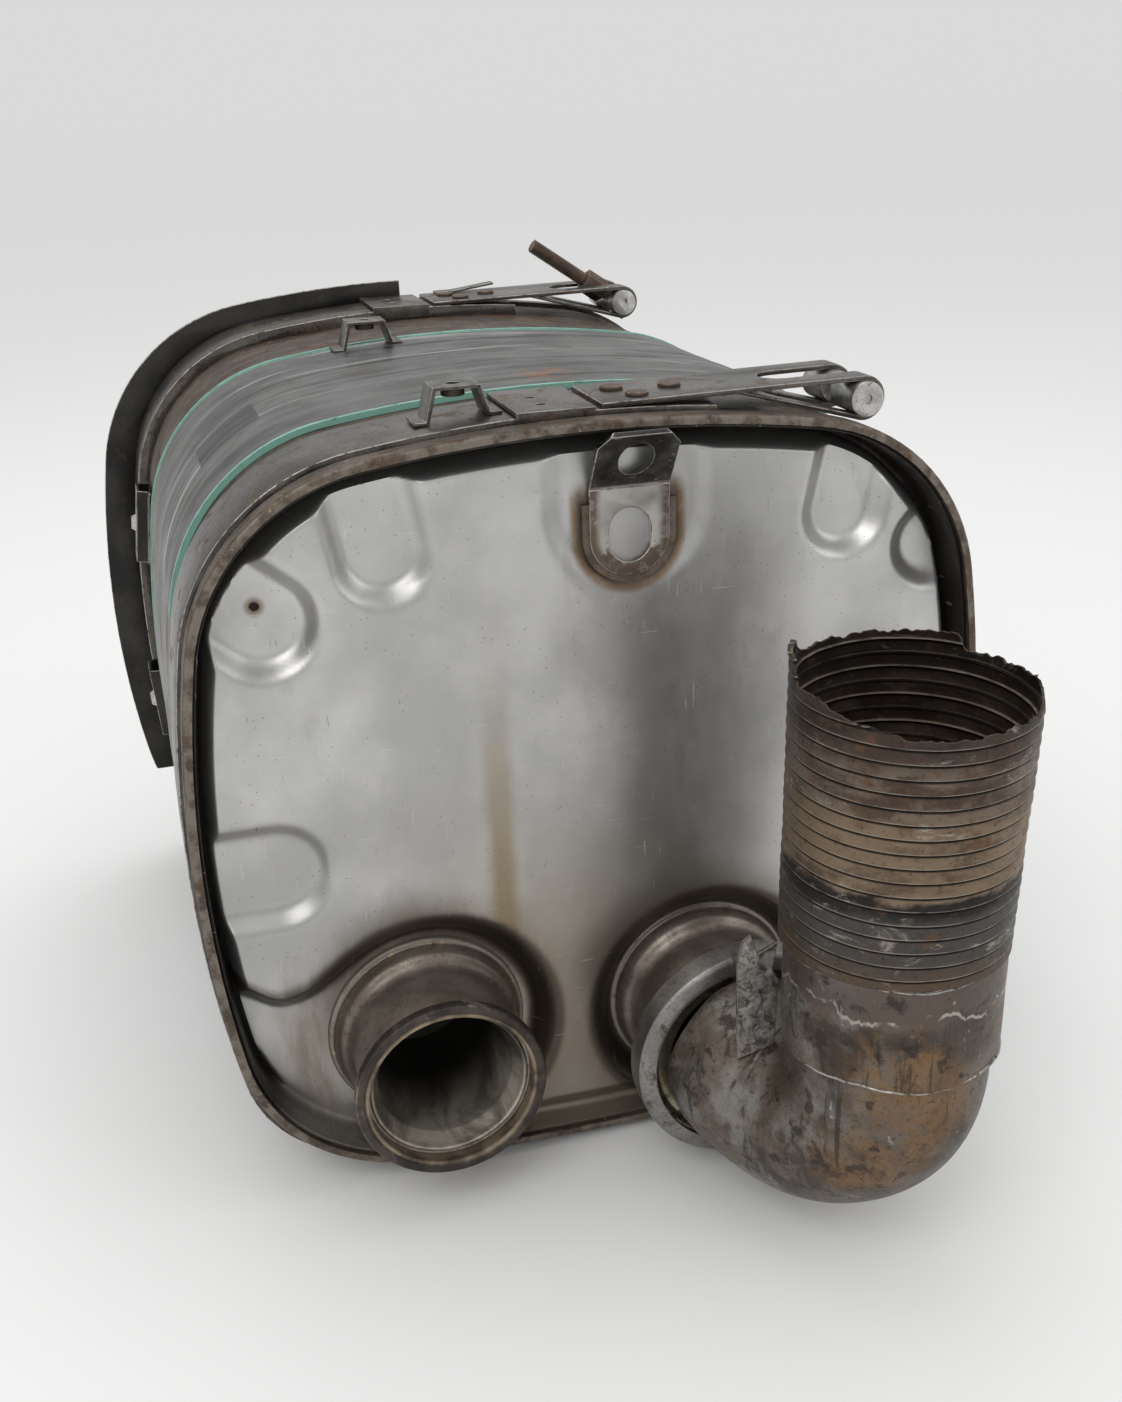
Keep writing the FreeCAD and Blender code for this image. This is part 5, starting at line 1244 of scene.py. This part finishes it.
class CAN_OT_stage(bpy.types.Operator):
    """Set the floor, the light and the camera"""
    bl_idname = "can.stage"
    bl_label = "Stage"

    def execute(self, context):
        scene = context.scene
        sizes, colours = scene.can_sizes, scene.can_colours
        low = Vector(CAD_BOX[0])
        bm = bmesh.new()
        bmesh.ops.create_grid(bm, x_segments=1, y_segments=1, size=sizes.floor_size / 2)
        bmesh.ops.translate(bm, verts=bm.verts, vec=(0, 0, low.z - 0.0002))
        mesh = bpy.data.meshes.new("floor")
        bm.to_mesh(mesh)
        bm.free()
        mesh.materials.append(plain_material("floor", colours.floor))
        floor = bpy.data.objects.new("floor", mesh)
        scene.collection.objects.link(floor)
        make_world(colours.backdrop)
        target = place(0, 250, 0)
        soft_light("key", place(-1500, -1700, 2200), target, (1.8, 1.8), 27)
        soft_light("fill", place(1900, -1300, 1200), target, (1.6, 1.6), 7)
        soft_light("top", place(100, 900, 2300), target, (1.6, 2.4), 15)
        camera = bpy.data.cameras.new("camera")
        camera.lens = sizes.lens
        camera.sensor_width = 36
        camera.clip_end = 100
        obj = bpy.data.objects.new("camera", camera)
        turn = (Matrix.Rotation(-CAMERA_YAW, 3, "Z") @ Matrix.Rotation(math.pi / 2 - CAMERA_PITCH, 3, "X")
                @ Matrix.Rotation(CAMERA_ROLL, 3, "Z"))
        obj.matrix_world = Matrix.Translation(place(*CAMERA_PLACE)) @ turn.to_4x4()
        scene.collection.objects.link(obj)
        scene.camera = obj
        scene.view_settings.view_transform = "Standard"
        return {"FINISHED"}


STEPS = [CAN_OT_finishes, CAN_OT_cap, CAN_OT_shield, CAN_OT_plates, CAN_OT_ports, CAN_OT_elbow, CAN_OT_hose,
         CAN_OT_stage]


class CAN_PT_panel(bpy.types.Panel):
    """The can's sizes, colours and steps"""
    bl_idname = "CAN_PT_panel"
    bl_label = "Aftertreatment can"
    bl_space_type = "VIEW_3D"
    bl_region_type = "UI"
    bl_category = "Can"

    def draw(self, context):
        for group in (context.scene.can_sizes, context.scene.can_colours):
            for name in group.__annotations__:
                self.layout.prop(group, name)
        for step in STEPS:
            self.layout.operator(step.bl_idname)


CLASSES = [CanSizes, CanColours, *STEPS, CAN_PT_panel]


def register():
    for cls in CLASSES:
        bpy.utils.register_class(cls)
    bpy.types.Scene.can_sizes = bpy.props.PointerProperty(type=CanSizes)
    bpy.types.Scene.can_colours = bpy.props.PointerProperty(type=CanColours)


def unregister():
    del bpy.types.Scene.can_sizes
    del bpy.types.Scene.can_colours
    for cls in reversed(CLASSES):
        bpy.utils.unregister_class(cls)


def main():
    register()
    for step in STEPS:
        group, name = step.bl_idname.split(".")
        getattr(getattr(bpy.ops, group), name)()


if __name__ == "__main__":
    main()
